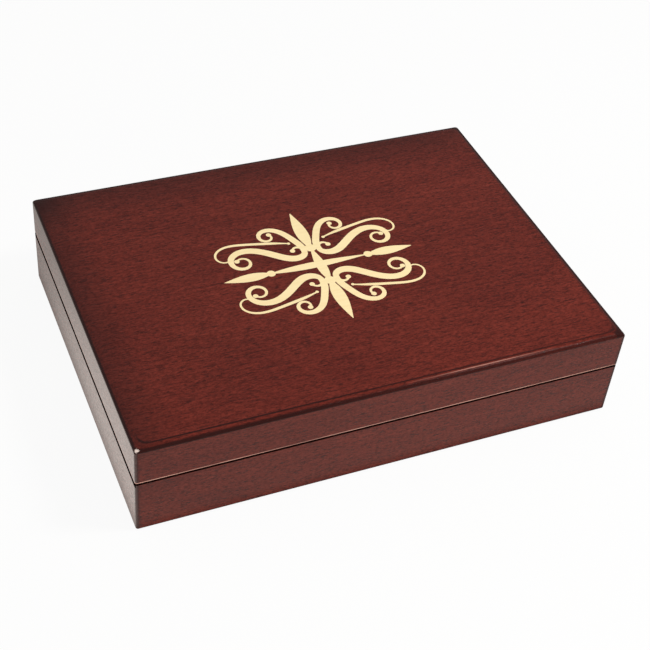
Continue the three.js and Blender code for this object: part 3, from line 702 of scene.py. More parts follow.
def screwPlaces(hand, body):
    # Each screw's axis, the height of its face and the way that it points
    direction = -1 if body == "base" else 1
    face = (rimZ if body == "base" else lidZ) + direction * mm(hinges["screwSink"])
    for number in (1, 2):
        yield number, axisOf(f"{hand}_hinge_{body}_screw_{number}"), face, direction


def cutScrewHoles(piece, hand, body):
    for _, axis, face, direction in screwPlaces(hand, body):
        profile = screwProfile(face, direction, mm(hinges["screwClearance"]), overrun)
        carve(piece, turned("screwHole", profile, axis, steps=hinges["roundSteps"]))


# Boards: base walls, lid rails, bottom board and lid board

boards = {
    "cornerRadius": 1.2,
    "innerCorner": 0.3,
    "ease": 0.4,
    "rimEase": 0.6,
    "innerEase": 0.3,
    "boardRoundAcross": 4.6,
    "boardRoundDown": 2.2,
    "boardRoundSteps": 14,
}


# Outward and along directions of the four sides
sides = {
    "front": ((0, -1), (1, 0)),
    "right": ((1, 0), (0, 1)),
    "back": ((0, 1), (-1, 0)),
    "left": ((-1, 0), (0, -1)),
}


def mitredSides(section):
    # A ring of this section with rounded corners, cut at 45 degrees through them into its four sides
    ring = bmesh.new()
    loops = []
    for inset, z in section:
        radius = max(mm(boards["cornerRadius"]) - inset, mm(boards["innerCorner"]))
        loops.append(roundedLoop(ring, outerX - inset, outerY - inset, radius, z))
    bridge(ring, loops, closed=True)
    cuts = {}
    for side, (out, along) in sides.items():
        bm = ring.copy()
        for end in (1, -1):
            corner = [abs(h) * (o + end * a) for h, o, a in zip((outerX, outerY), out, along)]
            away = [end * a - o for o, a in zip(out, along)]
            bmesh.ops.bisect_plane(
                bm, geom=[*bm.verts, *bm.edges, *bm.faces], dist=closeBy, plane_co=(*corner, 0),
                plane_no=(*away, 0), clear_outer=True,
            )
        bmesh.ops.holes_fill(bm, edges=[edge for edge in bm.edges if edge.is_boundary], sides=0)
        cuts[side] = bm
    ring.free()
    return cuts


def makeSides(body, part, section):
    for side, bm in mitredSides(section).items():
        wood = materials["mahoganyX" if side in ("front", "back") else "mahoganyY"]
        board = toObject(bm, f"mahogany_{side}_{part}", wood)
        if side == "back":
            cutMortises(board, body)
        if body == "base":
            waxRim(board, side)
        dress(board, body, "mahogany", f"{body}_{side}_{part}")


def makeBase():
    low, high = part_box("base_front_wall")
    thickness = high.y - low.y
    ease, rimEase, innerEase = sizes(boards, "ease", "rimEase", "innerEase")
    boardLow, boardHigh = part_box("base_bottom_board")
    rebateInset = outerX - boardHigh.x
    makeSides("base", "wall", [
        *quarter(ease, low.z + ease, ease, 270, 180),
        # The painted seam shadow starts at this edge
        (0.0, high.z - mm(joint["height"]["y"])),
        *quarter(rimEase, high.z - rimEase, rimEase, 180, 90),
        *quarter(thickness - innerEase, high.z - innerEase, innerEase, 90, 0, 2),
        (thickness, boardHigh.z),
        (rebateInset, boardHigh.z),
        (rebateInset, low.z),
    ])
    bottom = block("bottom_panel", boardLow, boardHigh, materials["mahoganyX"])
    dress(bottom, "base", "mahogany", "base_bottom_board")


def waxRim(wall, side):
    # The painted seam shadow goes on the faces of the rim that look outwards
    wall.data.materials.append(materials["joint"])
    out, along = sides[side]
    foot = rimZ - mm(joint["height"]["x" if along[0] else "y"])
    for face in wall.data.polygons:
        outward = face.normal.x * out[0] + face.normal.y * out[1]
        if face.center.z > foot and outward > joint["leastOutward"]:
            face.material_index = 1


def makeLidRails():
    low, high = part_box("lid_front_rail")
    thickness = high.y - low.y
    ease, innerEase = sizes(boards, "ease", "innerEase")
    makeSides("lid", "rail", [
        *quarter(ease, low.z + ease, ease, 270, 180),
        (0.0, high.z),
        (thickness, high.z),
        *quarter(thickness - innerEase, low.z + innerEase, innerEase, 0, -90, 2),
    ])


def cutMortises(board, body):
    # Seats of the hinge leaves with their running clearance, and the screws' holes
    air, thick = sizes(hinges, "mortiseClearance", "leafThickness")
    for hand in hinges["hands"]:
        low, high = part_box(f"{hand}_hinge_{body}_leaf")
        x0, x1, back = low.x - air, high.x + air, outerY + overrun
        if body == "base":
            carve(board, block("seat", (x0, low.y - air, rimZ - thick), (x1, back, rimZ + overrun)))
            carve(board, block("seat", (x0, outerY - thick, low.z - air), (x1, back, rimZ + overrun)))
        else:
            carve(board, block("seat", (x0, low.y - air, lidZ - overrun), (x1, back, lidZ + thick)))
        cutScrewHoles(board, hand, body)


def makeLidBoard():
    low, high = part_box("lid_top_board")
    across, down, corner = sizes(boards, "boardRoundAcross", "boardRoundDown", "cornerRadius")
    steps = boards["boardRoundSteps"]
    bm = bmesh.new()
    loops = [roundedLoop(bm, outerX, outerY, corner, low.z)]
    for i in range(steps + 1):
        angle = math.pi / 2 * i / steps
        inset = across * (1 - math.cos(angle))
        z = high.z - down * (1 - math.sin(angle))
        loops.append(roundedLoop(bm, outerX - inset, outerY - inset, corner + inset, z))
    bridge(bm, loops, closed=False)
    board = toObject(bm, "mahogany_lid_board", materials["mahoganyX"])
    cutPocket(board)
    strokes = makeInlay("cream_inlay")
    carve(board, strokes, keepTool=True)
    for vertex in strokes.data.vertices:
        vertex.co.z = min(vertex.co.z, high.z)
    dress(board, "lid", "mahogany", "lid_top_board")
    dress(strokes, "lid", "cream_inlay", "lid_ornament")


def cutPocket(board):
    # The hole in the lid for the hygrometer, from below the cedar panel
    radius = radiusOf("hygrometer_case") + mm(hygrometer["pocketClearance"])
    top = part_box("hygrometer_case")[1].z + mm(hygrometer["pocketAir"])
    carve(board, turned("pocket", discProfile(radius, panelZ - overrun, top), axisOf("hygrometer_case")))


# Inlay: scrolls, leaves and beads drawn in one quarter and mirrored both ways

inlay = {
    "drawingWidthShare": 1.195,
    "scrollShares": {
        "main": {
            "x": 0.445, "y": 0.29, "heading": 40, "power": 1.15,
            "back": 0.66, "curlBack": -17, "ahead": 1.27, "curlAhead": -13.5,
        },
        "upper": {
            "x": 0.15, "y": 0.51, "heading": 66, "power": 1.2,
            "back": 0.48, "curlBack": 12, "ahead": 0.86, "curlAhead": -17,
        },
        "hair": {
            "x": 0.67, "y": 0.575, "heading": 12, "power": 1.6,
            "back": 0.46, "curlBack": 0.9, "ahead": 0.82, "curlAhead": -14.5,
        },
    },
    "beadShares": {"topY": 0.31, "sideX": 0.62},
    "thin": 1.2,
    "thick": 4.6,
    "medium": 3.8,
    "hair": 0.9,
    "hairMiddle": 1.9,
    "curlBead": 1.4,
    "hairBead": 0.9,
    "topBead": 3.0,
    "sideBead": 2.3,
    "leafTip": 0.3,
    "topLeaf": 6.5,
    "sideLeaf": 5.6,
    "crossBar": 4.4,
    "petal": 5.2,
    "strokePeakShare": 0.45,
    "hairPeakShare": 0.35,
    "leafPeakShare": 0.42,
    "firstHalfShare": 0.607,
    "strokeSteps": 34,
    "subSteps": 6,
    "leafSteps": 20,
    "beadSteps": 28,
}


def powerFor(share):
    return math.log(share) / math.log(0.5)


def drawnPoint(x, y):
    # A point of the drawing at its real size, from the box that the frame gives the ornament
    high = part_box("lid_ornament")[1]
    return (x * high.x / inlay["drawingWidthShare"], y * high.y)


def scrollLine(share):
    # From the end of the curl at the back, through the middle of the S, to the end of the curl ahead
    def walk(length, curl, angle):
        x, y, gone = share["x"], share["y"], 0.0
        points = [(x, y)]
        for i in range(1, inlay["strokeSteps"] + 1):
            reach = length * (i / inlay["strokeSteps"]) ** powerFor(inlay["firstHalfShare"])
            step = (reach - gone) / inlay["subSteps"]
            for _ in range(inlay["subSteps"]):
                bend = curl * ((gone + step / 2) / length) ** share["power"] * step
                angle += bend / 2
                x += math.cos(angle) * step
                y += math.sin(angle) * step
                angle += bend / 2
                gone += step
            points.append((x, y))
        return points
    heading = math.radians(share["heading"])
    back = walk(share["back"], share["curlBack"], heading + math.pi)
    ahead = walk(share["ahead"], share["curlAhead"], heading)
    return [drawnPoint(*p) for p in back[::-1] + ahead[1:]]


def bandEdges(line, widthAt):
    left = []
    right = []
    last = len(line) - 1
    for i, (x, y) in enumerate(line):
        x0, y0 = line[max(i - 1, 0)]
        x1, y1 = line[min(i + 1, last)]
        length = math.hypot(x1 - x0, y1 - y0)
        half = mm(widthAt(i / last)) / 2
        across = (-(y1 - y0) / length * half, (x1 - x0) / length * half)
        left.append((x + across[0], y + across[1]))
        right.append((x - across[0], y - across[1]))
    return left, right


def swelling(thin, thick, peak):
    def widthAt(t):
        rise = t / peak if t < peak else (1 - t) / (1 - peak)
        return thin + (thick - thin) * math.sin(rise * math.pi / 2) ** 2
    return widthAt


def leafLine(start, end):
    (x0, y0), (x1, y1) = drawnPoint(*start), drawnPoint(*end)
    steps = inlay["leafSteps"]
    return [(x0 + (x1 - x0) * i / steps, y0 + (y1 - y0) * i / steps) for i in range(steps + 1)]


def leafWidth(width):
    power = 1 / powerFor(inlay["leafPeakShare"])
    return lambda t: inlay["leafTip"] + width * math.sin(math.pi * t ** power)


def inlayOutlines():
    # Every stroke as short quads and every bead as a ring of points, counter-clockwise, in all the places
    # that its mirror images take
    v = inlay
    main, upper, hair = (scrollLine(v["scrollShares"][key]) for key in ("main", "upper", "hair"))
    top = (0.0, v["beadShares"]["topY"])
    side = (v["beadShares"]["sideX"], 0.0)
    quarters = [(1, 1), (-1, 1), (-1, -1), (1, -1)]
    upright = [(1, 1), (1, -1)]
    level = [(1, 1), (-1, 1)]
    strips = [
        (main, swelling(v["thin"], v["thick"], v["strokePeakShare"]), quarters),
        (upper, swelling(v["thin"], v["medium"], v["strokePeakShare"]), quarters),
        (hair, swelling(v["hair"], v["hairMiddle"], v["hairPeakShare"]), quarters),
        (leafLine(top, (0.0, 1.0)), leafWidth(v["topLeaf"]), upright),
        (leafLine(side, (v["drawingWidthShare"], 0.0)), leafWidth(v["sideLeaf"]), level),
        (leafLine((-side[0], 0.0), side), leafWidth(v["crossBar"]), level[:1]),
        (leafLine((0.0, -top[1]), top), leafWidth(v["petal"]), upright[:1]),
    ]
    beads = [
        (main[0], v["curlBead"], quarters), (main[-1], v["curlBead"], quarters),
        (upper[-1], v["curlBead"], quarters), (hair[0], v["hairBead"], quarters),
        (hair[-1], v["hairBead"], quarters), (drawnPoint(*top), v["topBead"], upright),
        (drawnPoint(*side), v["sideBead"], level),
    ]
    shapes = []
    for line, widthAt, images in strips:
        left, right = bandEdges(line, widthAt)
        shapes += [(quad, images) for quad in zip(right, right[1:], left[1:], left)]
    for (x, y), radius, images in beads:
        turns = [2 * math.pi * i / v["beadSteps"] for i in range(v["beadSteps"])]
        ring = [(x + mm(radius) * math.cos(a), y + mm(radius) * math.sin(a)) for a in turns]
        shapes.append((ring, images))
    for outline, images in shapes:
        for signX, signY in images:
            image = [(signX * x, signY * y) for x, y in outline]
            yield image if signX == signY else image[::-1]


def makeInlay(name):
    # The outlines are merged into one flat shape, which is given its thickness. It stands proud of the lid
    # by the overrun until it has cut its own seat.
    low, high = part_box("lid_ornament")
    corners = []
    faces = []
    for outline in inlayOutlines():
        faces.append(list(range(len(corners), len(corners) + len(outline))))
        corners += [Vector(point) / mm(1.0) for point in outline]
    insideOnly, tolerance = 1, 1e-4
    points, _, triangles, *_ = delaunay_2d_cdt(corners, [], faces, insideOnly, tolerance)
    bm = bmesh.new()
    spots = [bm.verts.new((mm(x), mm(y), low.z)) for x, y in points]
    flat = [bm.faces.new([spots[i] for i in triangle]) for triangle in triangles]
    push(bm, flat, (0, 0, high.z + overrun - low.z))
    return toObject(bm, name, materials["inlay"])


# Cedar lining, divider and lid panel

lining = {
    "ease": 0.25,
    "lipChamfer": 1.0,
    "panelEase": 0.3,
    "dividerEase": 0.5,
    "notchRadius": 9.0,
    "notchSteps": 24,
}


def makeLining():
    chamfer = mm(lining["lipChamfer"])
    for side, (out, _) in sides.items():
        low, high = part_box(f"liner_{side}")
        across = 1 if out[1] else 0
        sign = out[across]
        inner, outer = (low[across], high[across]) if sign > 0 else (high[across], low[across])
        section = [
            (inner, low.z), (outer, low.z), (outer, high.z - chamfer),
            (outer - sign * chamfer, high.z), (inner, high.z),
        ]
        runs = "xy"[1 - across]
        liner = extruded(
            f"cedar_{side}_liner", section, runs, low[1 - across], high[1 - across],
            materials["cedarX" if runs == "x" else "cedarY"], mm(lining["ease"]),
        )
        dress(liner, "base", "cedar", f"liner_{side}")
    floor = block("cedar_floor", *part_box("liner_floor"), materials["cedarX"])
    dress(floor, "base", "cedar", "liner_floor")


def makeDivider():
    low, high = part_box("divider")
    steps = lining["notchSteps"]
    notch = quarter(0.0, high.z, mm(lining["notchRadius"]), 0, -180, steps)
    outline = [(low.y, low.z), (high.y, low.z), (high.y, high.z), *notch, (low.y, high.z)]
    ease = mm(lining["dividerEase"])
    board = extruded("cedar_divider", outline, "x", low.x, high.x, materials["cedarY"], ease)
    dress(board, "divider", "cedar", "divider")


def cutMagnetSeats(piece, bottom, top):
    for number in (1, 2):
        radius = radiusOf(f"magnet_{number}") + mm(humidifier["magnetClearance"])
        carve(piece, turned("seat", discProfile(radius, bottom, top), axisOf(f"magnet_{number}")))


def makeLidPanel():
    low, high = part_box("lid_cedar_panel")
    panel = block("cedar_lid_panel", low, high, materials["cedarX"], mm(lining["panelEase"]))
    cutPocket(panel)
    cutMagnetSeats(panel, panelZ - overrun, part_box("steel_plate_1")[1].z)
    dress(panel, "lid", "cedar", "lid_cedar_panel")


# Humidifier: a flat black case that hangs under the lid on two magnets

humidifier = {
    "corner": 2.4,
    "leastCorner": 0.6,
    "ease": 0.6,
    "wall": 1.4,
    "back": 2.2,
    "lipClearance": 0.15,
    "lipWall": 1.0,
    "lipHeight": 1.5,
    "slotRows": 2,
    "slotColumns": 10,
    "slotPitch": 8.4,
    "slotRowPitch": 16.0,
    "slotWidth": 2.6,
    "slotLength": 13.0,
    "slotEase": 0.3,
    "slotEndShare": 0.98,
    "foamEase": 0.8,
    "foamCuts": 2,
    "magnetClearance": 0.1,
    "magnetEase": 0.15,
}


def humidifierShell(name, section):
    low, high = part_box("humidifier_case")
    bm = bmesh.new()
    loops = []
    for inset, z in section:
        halfX, halfY = (high.x - low.x) / 2 - inset, (high.y - low.y) / 2 - inset
        radius = max(mm(humidifier["corner"]) - inset, mm(humidifier["leastCorner"]))
        loops.append(roundedLoop(bm, halfX, halfY, radius, z, axisOf("humidifier_case")))
    bridge(bm, loops, closed=False)
    return toObject(bm, name, materials["plastic"])


def makeHumidifierCase():
    low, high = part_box("humidifier_case")
    wall, back, ease = sizes(humidifier, "wall", "back", "ease")
    case = humidifierShell("humidifier_shell", [
        (wall, high.z - back), (wall, low.z), (0.0, low.z),
        *quarter(ease, high.z - ease, ease, 180, 90),
    ])
    cutMagnetSeats(case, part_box("magnet_1")[0].z, high.z + overrun)
    dress(case, "humidifier", "black_plastic", "humidifier_case")


def makeHumidifierCover():
    h = humidifier
    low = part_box("humidifier_cover")[0]
    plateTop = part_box("humidifier_case")[0].z
    ease = mm(h["ease"])
    lip = mm(h["wall"] + h["lipClearance"])
    lipTop = plateTop + mm(h["lipHeight"])
    inside = lip + mm(h["lipWall"])
    cover = humidifierShell("humidifier_grille", [
        (inside, plateTop), (inside, lipTop), (lip, lipTop), (lip, plateTop), (0.0, plateTop),
        *quarter(ease, low.z + ease, ease, 180, 270),
    ])
    carve(cover, slotTools(low.z, plateTop))
    dress(cover, "humidifier", "black_plastic", "humidifier_cover")


def slotTools(bottom, top):
    # Two rows of slots with rounded ends, flared at the bottom
    h = humidifier
    halfX, halfY, flare = mm(h["slotWidth"] / 2, h["slotLength"] / 2, h["slotEase"])
    bm = bmesh.new()
    for row in range(h["slotRows"]):
        for column in range(h["slotColumns"]):
            x = axisOf("humidifier_cover").x + mm((column - (h["slotColumns"] - 1) / 2) * h["slotPitch"])
            y = mm((row - (h["slotRows"] - 1) / 2) * h["slotRowPitch"])
            loops = []
            for grow, z in ((flare + overrun, bottom - overrun), (0, bottom + flare), (0, top + overrun)):
                radius = (halfX + grow) * h["slotEndShare"]
                loops.append(roundedLoop(bm, halfX + grow, halfY + grow, radius, z, (x, y)))
            bridge(bm, loops, closed=False)
    return toObject(bm, "slots", None)


def makeFoam():
    low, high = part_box("humidifier_foam")
    foam = block("water_foam", low, high, materials["foam"], mm(humidifier["foamEase"]))
    bm = bmesh.new()
    bm.from_mesh(foam.data)
    bmesh.ops.subdivide_edges(bm, edges=bm.edges, cuts=humidifier["foamCuts"], use_grid_fill=True)
    bm.to_mesh(foam.data)
    bm.free()
    dress(foam, "humidifier", "foam", "humidifier_foam")


def makeMagnets():
    for kind, body in (("magnet", "humidifier"), ("steel_plate", "lid")):
        for number in (1, 2):
            low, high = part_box(f"{kind}_{number}")
            magnet = f"magnet_{number}"
            profile = discProfile(radiusOf(magnet), low.z, high.z, mm(humidifier["magnetEase"]))
            disc = turned(f"nickel_{kind}_{number}", profile, axisOf(magnet), materials["nickel"])
            dress(disc, body, "steel", f"{kind}_{number}")


# Hygrometer: its dial faces down when the lid is shut, its top towards the front of the box

hygrometer = {
    "pocketClearance": 0.8,
    "pocketAir": 0.6,
    "roundSteps": 96,
    "windowRadius": 16.4,
    "bezelLip": 0.6,
    "bezelCrown": 0.7,
    # Shares of the crown outwards and of the lip upwards
    "bezelInnerShares": ((0.6, 0.0), (0.15, 0.35), (0.0, 0.8), (0.0, 1.0)),
    "lensClearance": 0.1,
    "lensEase": 0.15,
    "caseWall": 0.8,
    "caseBack": 1.0,
    "caseEase": 0.4,
    "calibrationHole": 2.58,
    "ringRib": 0.25,
    "ringRibs": 3,
    "ringSteps": 12,
    "arborHole": 0.7,
    "printDepth": 0.03,
    "degreesPerPercent": 2.7,
    "middleReading": 50,
    "restReading": 70,
    "lastReading": 100,
    "tickEvery": 2,
    "numberEvery": 10,
    "tickOuter": 15.6,
    "majorTick": (2.0, 0.34),
    "minorTick": (1.1, 0.16),
    "numberRadius": 11.4,
    "numberSize": 2.9,
    "signRadius": 6.2,
    "signSize": 3.4,
    "needleLength": 12.5,
    "needleTail": 4.0,
    "needleWidth": 0.9,
    "needleTip": 0.35,
    "needleThickness": 0.4,
    "needleEase": 0.05,
    "hubRadius": 1.3,
    "hubFaceShare": 0.7,
    "hubThickness": 0.8,
    "hubEaseShare": 0.3,
    "hubSteps": 40,
    "arborRadius": 0.5,
    "arborLength": 4.2,
}


def makeInstrumentPart(name, node, profile, material, slot, **shape):
    part = turned(name, profile, axisOf("hygrometer_dial"), materials[material], **shape)
    dress(part, "hygrometer", slot, node)


def makeHygrometerCase():
    h = hygrometer
    low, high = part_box("hygrometer_case")
    outer = radiusOf("hygrometer_case")
    wall, back, hole, ease = sizes(h, "caseWall", "caseBack", "calibrationHole", "caseEase")
    profile = [
        (outer - wall, low.z), (outer, low.z), (outer, high.z - ease), (outer - ease, high.z),
        (hole, high.z), (hole, high.z - back), (outer - wall, high.z - back), (outer - wall, low.z),
    ]
    makeInstrumentPart("instrument_case", "hygrometer_case", profile, "brass", "brass")


def makeRing():
    # Three soft ribs hold the case in its hole
    h = hygrometer
    low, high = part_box("hygrometer_rubber_ring")
    outer = radiusOf("hygrometer_rubber_ring")
    inner = radiusOf("hygrometer_case")
    outline = []
    for i in range(h["ringSteps"] + 1):
        share = i / h["ringSteps"]
        wave = 0.5 - 0.5 * math.cos(2 * math.pi * h["ringRibs"] * share)
        outline.append((outer - mm(h["ringRib"]) * (1 - wave), low.z + (high.z - low.z) * share))
    profile = [(inner, low.z), *outline, (inner, high.z), (inner, low.z)]
    node = "hygrometer_rubber_ring"
    makeInstrumentPart("instrument_ring", node, profile, "rubber", "rubber", sharpAngle=60.0)


def makeBezel():
    h = hygrometer
    low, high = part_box("hygrometer_bezel")
    outer = radiusOf("hygrometer_bezel")
    window, lip, crown = sizes(h, "windowRadius", "bezelLip", "bezelCrown")
    seat = radiusOf("hygrometer_lens") + mm(h["lensClearance"])
    profile = [
        (seat, high.z), (outer, high.z), *quarter(outer - crown, low.z + crown, crown, 0, -90),
        *((window + crown * out, low.z + lip * up) for out, up in h["bezelInnerShares"]),
        (seat, low.z + lip), (seat, high.z),
    ]
    node = "hygrometer_bezel"
    makeInstrumentPart("instrument_bezel", node, profile, "brass", "brass", steps=h["roundSteps"])


def makeLens():
    h = hygrometer
    low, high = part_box("hygrometer_lens")
    profile = discProfile(radiusOf("hygrometer_lens"), low.z, high.z, mm(h["lensEase"]))
    makeInstrumentPart("instrument_lens", "hygrometer_lens", profile, "glass", "lens", steps=h["roundSteps"])


def dialAngle(reading):
    # Clockwise from the dial's top, seen by its reader
    return math.radians((reading - hygrometer["middleReading"]) * hygrometer["degreesPerPercent"])


def dialPoint(reading, radius, z):
    angle = dialAngle(reading)
    return axisOf("hygrometer_dial") + Vector((radius * math.sin(angle), -radius * math.cos(angle), z))


def addTick(bm, reading, length, width, z, depth):
    middle = dialPoint(reading, mm(hygrometer["tickOuter"]) - length / 2, z - depth / 2)
    turn = Matrix.Rotation(math.pi + dialAngle(reading), 4, "Z")
    size = Matrix.Diagonal((width, length, depth, 1.0))
    bmesh.ops.create_cube(bm, size=1.0, matrix=Matrix.Translation(middle) @ turn @ size)


def addWord(bm, body, size, reading, radius, z, depth):
    # A number or the sign laid face down on the dial, made a mesh first
    curve = bpy.data.curves.new("word", "FONT")
    curve.body = body
    curve.size = size
    curve.extrude = depth / 2
    curve.align_x = "CENTER"
    curve.align_y = "CENTER"
    word = newObject(curve, "word")
    mesh = bpy.data.meshes.new_from_object(word.evaluated_get(bpy.context.evaluated_depsgraph_get()))
    place = dialPoint(reading, radius, z - depth / 2)
    mesh.transform(Matrix.Translation(place) @ Matrix.Rotation(math.pi, 4, "X"))
    bm.from_mesh(mesh)
    bpy.data.objects.remove(word)


def makeDial():
    h = hygrometer
    low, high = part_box("hygrometer_dial")
    outer, hole, depth = radiusOf("hygrometer_dial"), *sizes(h, "arborHole", "printDepth")
    profile = [(hole, low.z), (outer, low.z), (outer, high.z), (hole, high.z), (hole, low.z)]
    makeInstrumentPart("instrument_dial", "hygrometer_dial", profile, "dial", "dial", steps=h["roundSteps"])
    bm = bmesh.new()
    for reading in range(0, h["lastReading"] + 1, h["tickEvery"]):
        major = reading % h["numberEvery"] == 0
        addTick(bm, reading, *mm(*h["majorTick" if major else "minorTick"]), low.z, depth)
        if major:
            addWord(bm, str(reading), mm(h["numberSize"]), reading, mm(h["numberRadius"]), low.z, depth)
    addWord(bm, "%", mm(h["signSize"]), h["middleReading"], mm(h["signRadius"]), low.z, depth)
    ink = toObject(bm, "dial_print", materials["ink"])
    dress(ink, "hygrometer", "needle")


def makeNeedle():
    h = hygrometer
    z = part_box("hygrometer_needle")[0].z
    length, tail, width, tip, thick, ease = sizes(
        h, "needleLength", "needleTail", "needleWidth",
        "needleTip", "needleThickness", "needleEase",
    )
    outline = [(-width / 2, -tail), (width / 2, -tail), (tip / 2, length), (-tip / 2, length)]
    pointer = extruded("humidity_needle", outline, "z", z, z + thick, materials["needle"], ease)
    turn = Matrix.Rotation(math.pi + dialAngle(h["restReading"]), 4, "Z")
    middle = axisOf("hygrometer_dial")
    pointer.data.transform(Matrix.Translation(middle) @ turn)
    hub, hubThick, arbor, reach = sizes(h, "hubRadius", "hubThickness", "arborRadius", "arborLength")
    profile = [
        (0, z), (hub * h["hubFaceShare"], z), (hub, z + hubThick * h["hubEaseShare"]), (hub, z + hubThick),
        (arbor, z + hubThick), (arbor, z + reach), (0, z + reach),
    ]
    carve(pointer, turned("hub", profile, middle, materials["needle"], steps=h["hubSteps"]), "UNION")
    dress(pointer, "needle", "needle", "hygrometer_needle")


# Hinges

def hingeMiddle(hand):
    low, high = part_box(f"{hand}_hinge_pin")
    return (low + high) / 2


def arcPoints(middle, radius, fromDegrees, toDegrees):
    steps = max(2, round(abs(toDegrees - fromDegrees) / 360 * hinges["roundSteps"]))
    return quarter(middle.y, middle.z, radius, fromDegrees, toDegrees, steps)


def circleAngle(z, middle, radius):
    # Where a level line from the left meets the knuckle, in degrees from +Y towards +Z
    return 180 - math.degrees(math.asin((z - middle.z) / radius))


def leafFromSection(name, outline, seam, runs, middleX):
    # Half a leaf: its whole section runs first, and only the plain part beyond the seam runs on. The half
    # is then mirrored. Runs are the starts and ends of both, from the leaf's middle or towards it.
    bm = bmesh.new()
    section = bm.faces.new([bm.verts.new((runs[0], y, z)) for y, z in outline])
    for start, end in zip(runs, runs[1:]):
        left = section
        section = push(bm, [left], (end - start, 0, 0))
        if start == runs[1]:
            bmesh.ops.delete(bm, geom=[left], context="FACES_ONLY")
        if end == runs[1]:
            cut = [next(v for v in section.verts if (v.co.yz - Vector(p)).length < closeBy) for p in seam]
            other, _ = bmesh.utils.face_split(section, *cut)
            section = min(section, other, key=lambda face: face.calc_center_median().y)
    inner = [face for face in bm.faces if all(abs(v.co.x) < closeBy for v in face.verts)]
    bmesh.ops.delete(bm, geom=inner, context="FACES_ONLY")
    bmesh.ops.mirror(bm, geom=[*bm.verts, *bm.edges, *bm.faces], axis="X", merge_dist=closeBy)
    bmesh.ops.recalc_face_normals(bm, faces=bm.faces)
    plain = outerY - mm(hinges["easeShortOf"])
    corner = math.radians(hinges["easeAbove"])
    sharp = [
        edge for edge in bm.edges
        if edge.calc_face_angle(0.0) > corner and all(v.co.y < plain for v in edge.verts)
    ]
    easeEdges(bm, sharp, mm(hinges["leafEase"]))
    bmesh.ops.translate(bm, verts=bm.verts, vec=(middleX, 0, 0))
    return toObject(bm, name, materials["brass"])


def finishLeaf(leaf, hand, body):
    # The bore for the pin and the screws' holes
    middle = hingeMiddle(hand)
    radius = mm(hinges["pinRadius"] + hinges["pinClearance"])
    low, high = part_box(f"{hand}_hinge_base_leaf")
    profile = discProfile(radius, 0, high.x - low.x + 2 * overrun)
    place = (low.x - overrun, middle.y, middle.z)
    carve(leaf, turned("bore", profile, place, None, "x", hinges["roundSteps"]))
    cutScrewHoles(leaf, hand, body)
    dress(leaf, body, "brass", f"{hand}_hinge_{body}_leaf")


def makeBaseLeaf(hand):
    low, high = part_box(f"{hand}_hinge_base_leaf")
    middle = hingeMiddle(hand)
    thick, radius = sizes(hinges, "leafThickness", "knuckleRadius")
    gap, half = sizes(hinges, "knuckleEndGap", "middleKnuckleHalf")
    under = rimZ - thick
    upperAngle = circleAngle(rimZ, middle, radius)
    lowerAngle = circleAngle(under, middle, radius) - 360
    outline = [
        (low.y, rimZ), (outerY, rimZ), *arcPoints(middle, radius, upperAngle, lowerAngle),
        (outerY, under), (outerY, low.z), (outerY - thick, low.z), (outerY - thick, under), (low.y, under),
    ]
    runs = ((high.x - low.x) / 2, half + gap, 0.0)
    seam = ((outerY, rimZ), (outerY, under))
    leaf = leafFromSection(f"{hand}_brass_base_leaf", outline, seam, runs, middle.x)
    finishLeaf(leaf, hand, "base")


def makeLidLeaf(hand):
    # The heel behind the middle knuckle comes down on the base leaf and stops the lid
    low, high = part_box(f"{hand}_hinge_lid_leaf")
    middle = hingeMiddle(hand)
    thick, half, radius, heel = sizes(
        hinges, "leafThickness", "middleKnuckleHalf",
        "knuckleRadius", "heelLength",
    )
    tilt = hinges["lidStopAngle"] - 90
    slope = math.radians(tilt)
    heelZ = middle.z + (heel * math.sin(slope) - radius) / math.cos(slope)
    over = lidZ + thick
    outline = [
        (low.y, lidZ), (outerY, lidZ),
        *arcPoints(middle, radius, circleAngle(lidZ, middle, radius), 270 + tilt),
        (middle.y + heel, heelZ), (middle.y + heel, middle.z),
        *arcPoints(middle, radius, 0.0, circleAngle(over, middle, radius)),
        (outerY, over), (low.y, over),
    ]
    runs = (0.0, half, (high.x - low.x) / 2)
    seam = ((outerY, lidZ), (outerY, over))
    leaf = leafFromSection(f"{hand}_brass_lid_leaf", outline, seam, runs, middle.x)
    finishLeaf(leaf, hand, "lid")


def makePin(hand):
    low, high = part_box(f"{hand}_hinge_pin")
    radius, head, headLength = sizes(hinges, "pinRadius", "pinHeadRadius", "pinHeadLength")
    half = (high.x - low.x) / 2
    oneEnd = []
    for i in range(hinges["pinHeadSteps"] + 1):
        angle = math.radians(90 * i / hinges["pinHeadSteps"])
        oneEnd.append((math.sin(angle) * head, half - headLength * (1 - math.cos(angle))))
    oneEnd.append((radius, half - headLength))
    profile = [(r, -x) for r, x in oneEnd] + [(r, x) for r, x in reversed(oneEnd)]
    steps = hinges["roundSteps"]
    pin = turned(f"{hand}_brass_pin", profile, hingeMiddle(hand), materials["brass"], "x", steps)
    dress(pin, "base", "brass", f"{hand}_hinge_pin")


def makeScrews(hand, body, turns):
    width, depth, head = sizes(hinges, "screwSlotWidth", "screwSlotDepth", "screwHeadRadius")
    for number, axis, face, direction in screwPlaces(hand, body):
        name = f"{hand}_brass_{body}_screw_{number}"
        profile = screwProfile(face, direction, 0.0, 0.0)[2:]
        screw = turned(name, [(0, face), *profile], axis, materials["brass"], steps=hinges["roundSteps"])
        ends = sorted((face - direction * overrun, face + direction * depth))
        slot = block("slot", (-2 * head, -width / 2, ends[0]), (2 * head, width / 2, ends[1]))
        slot.data.transform(Matrix.Translation(axis) @ Matrix.Rotation(math.radians(next(turns)), 4, "Z"))
        carve(screw, slot)
        dress(screw, body, "brass", f"{hand}_hinge_{body}_screw_{number}")


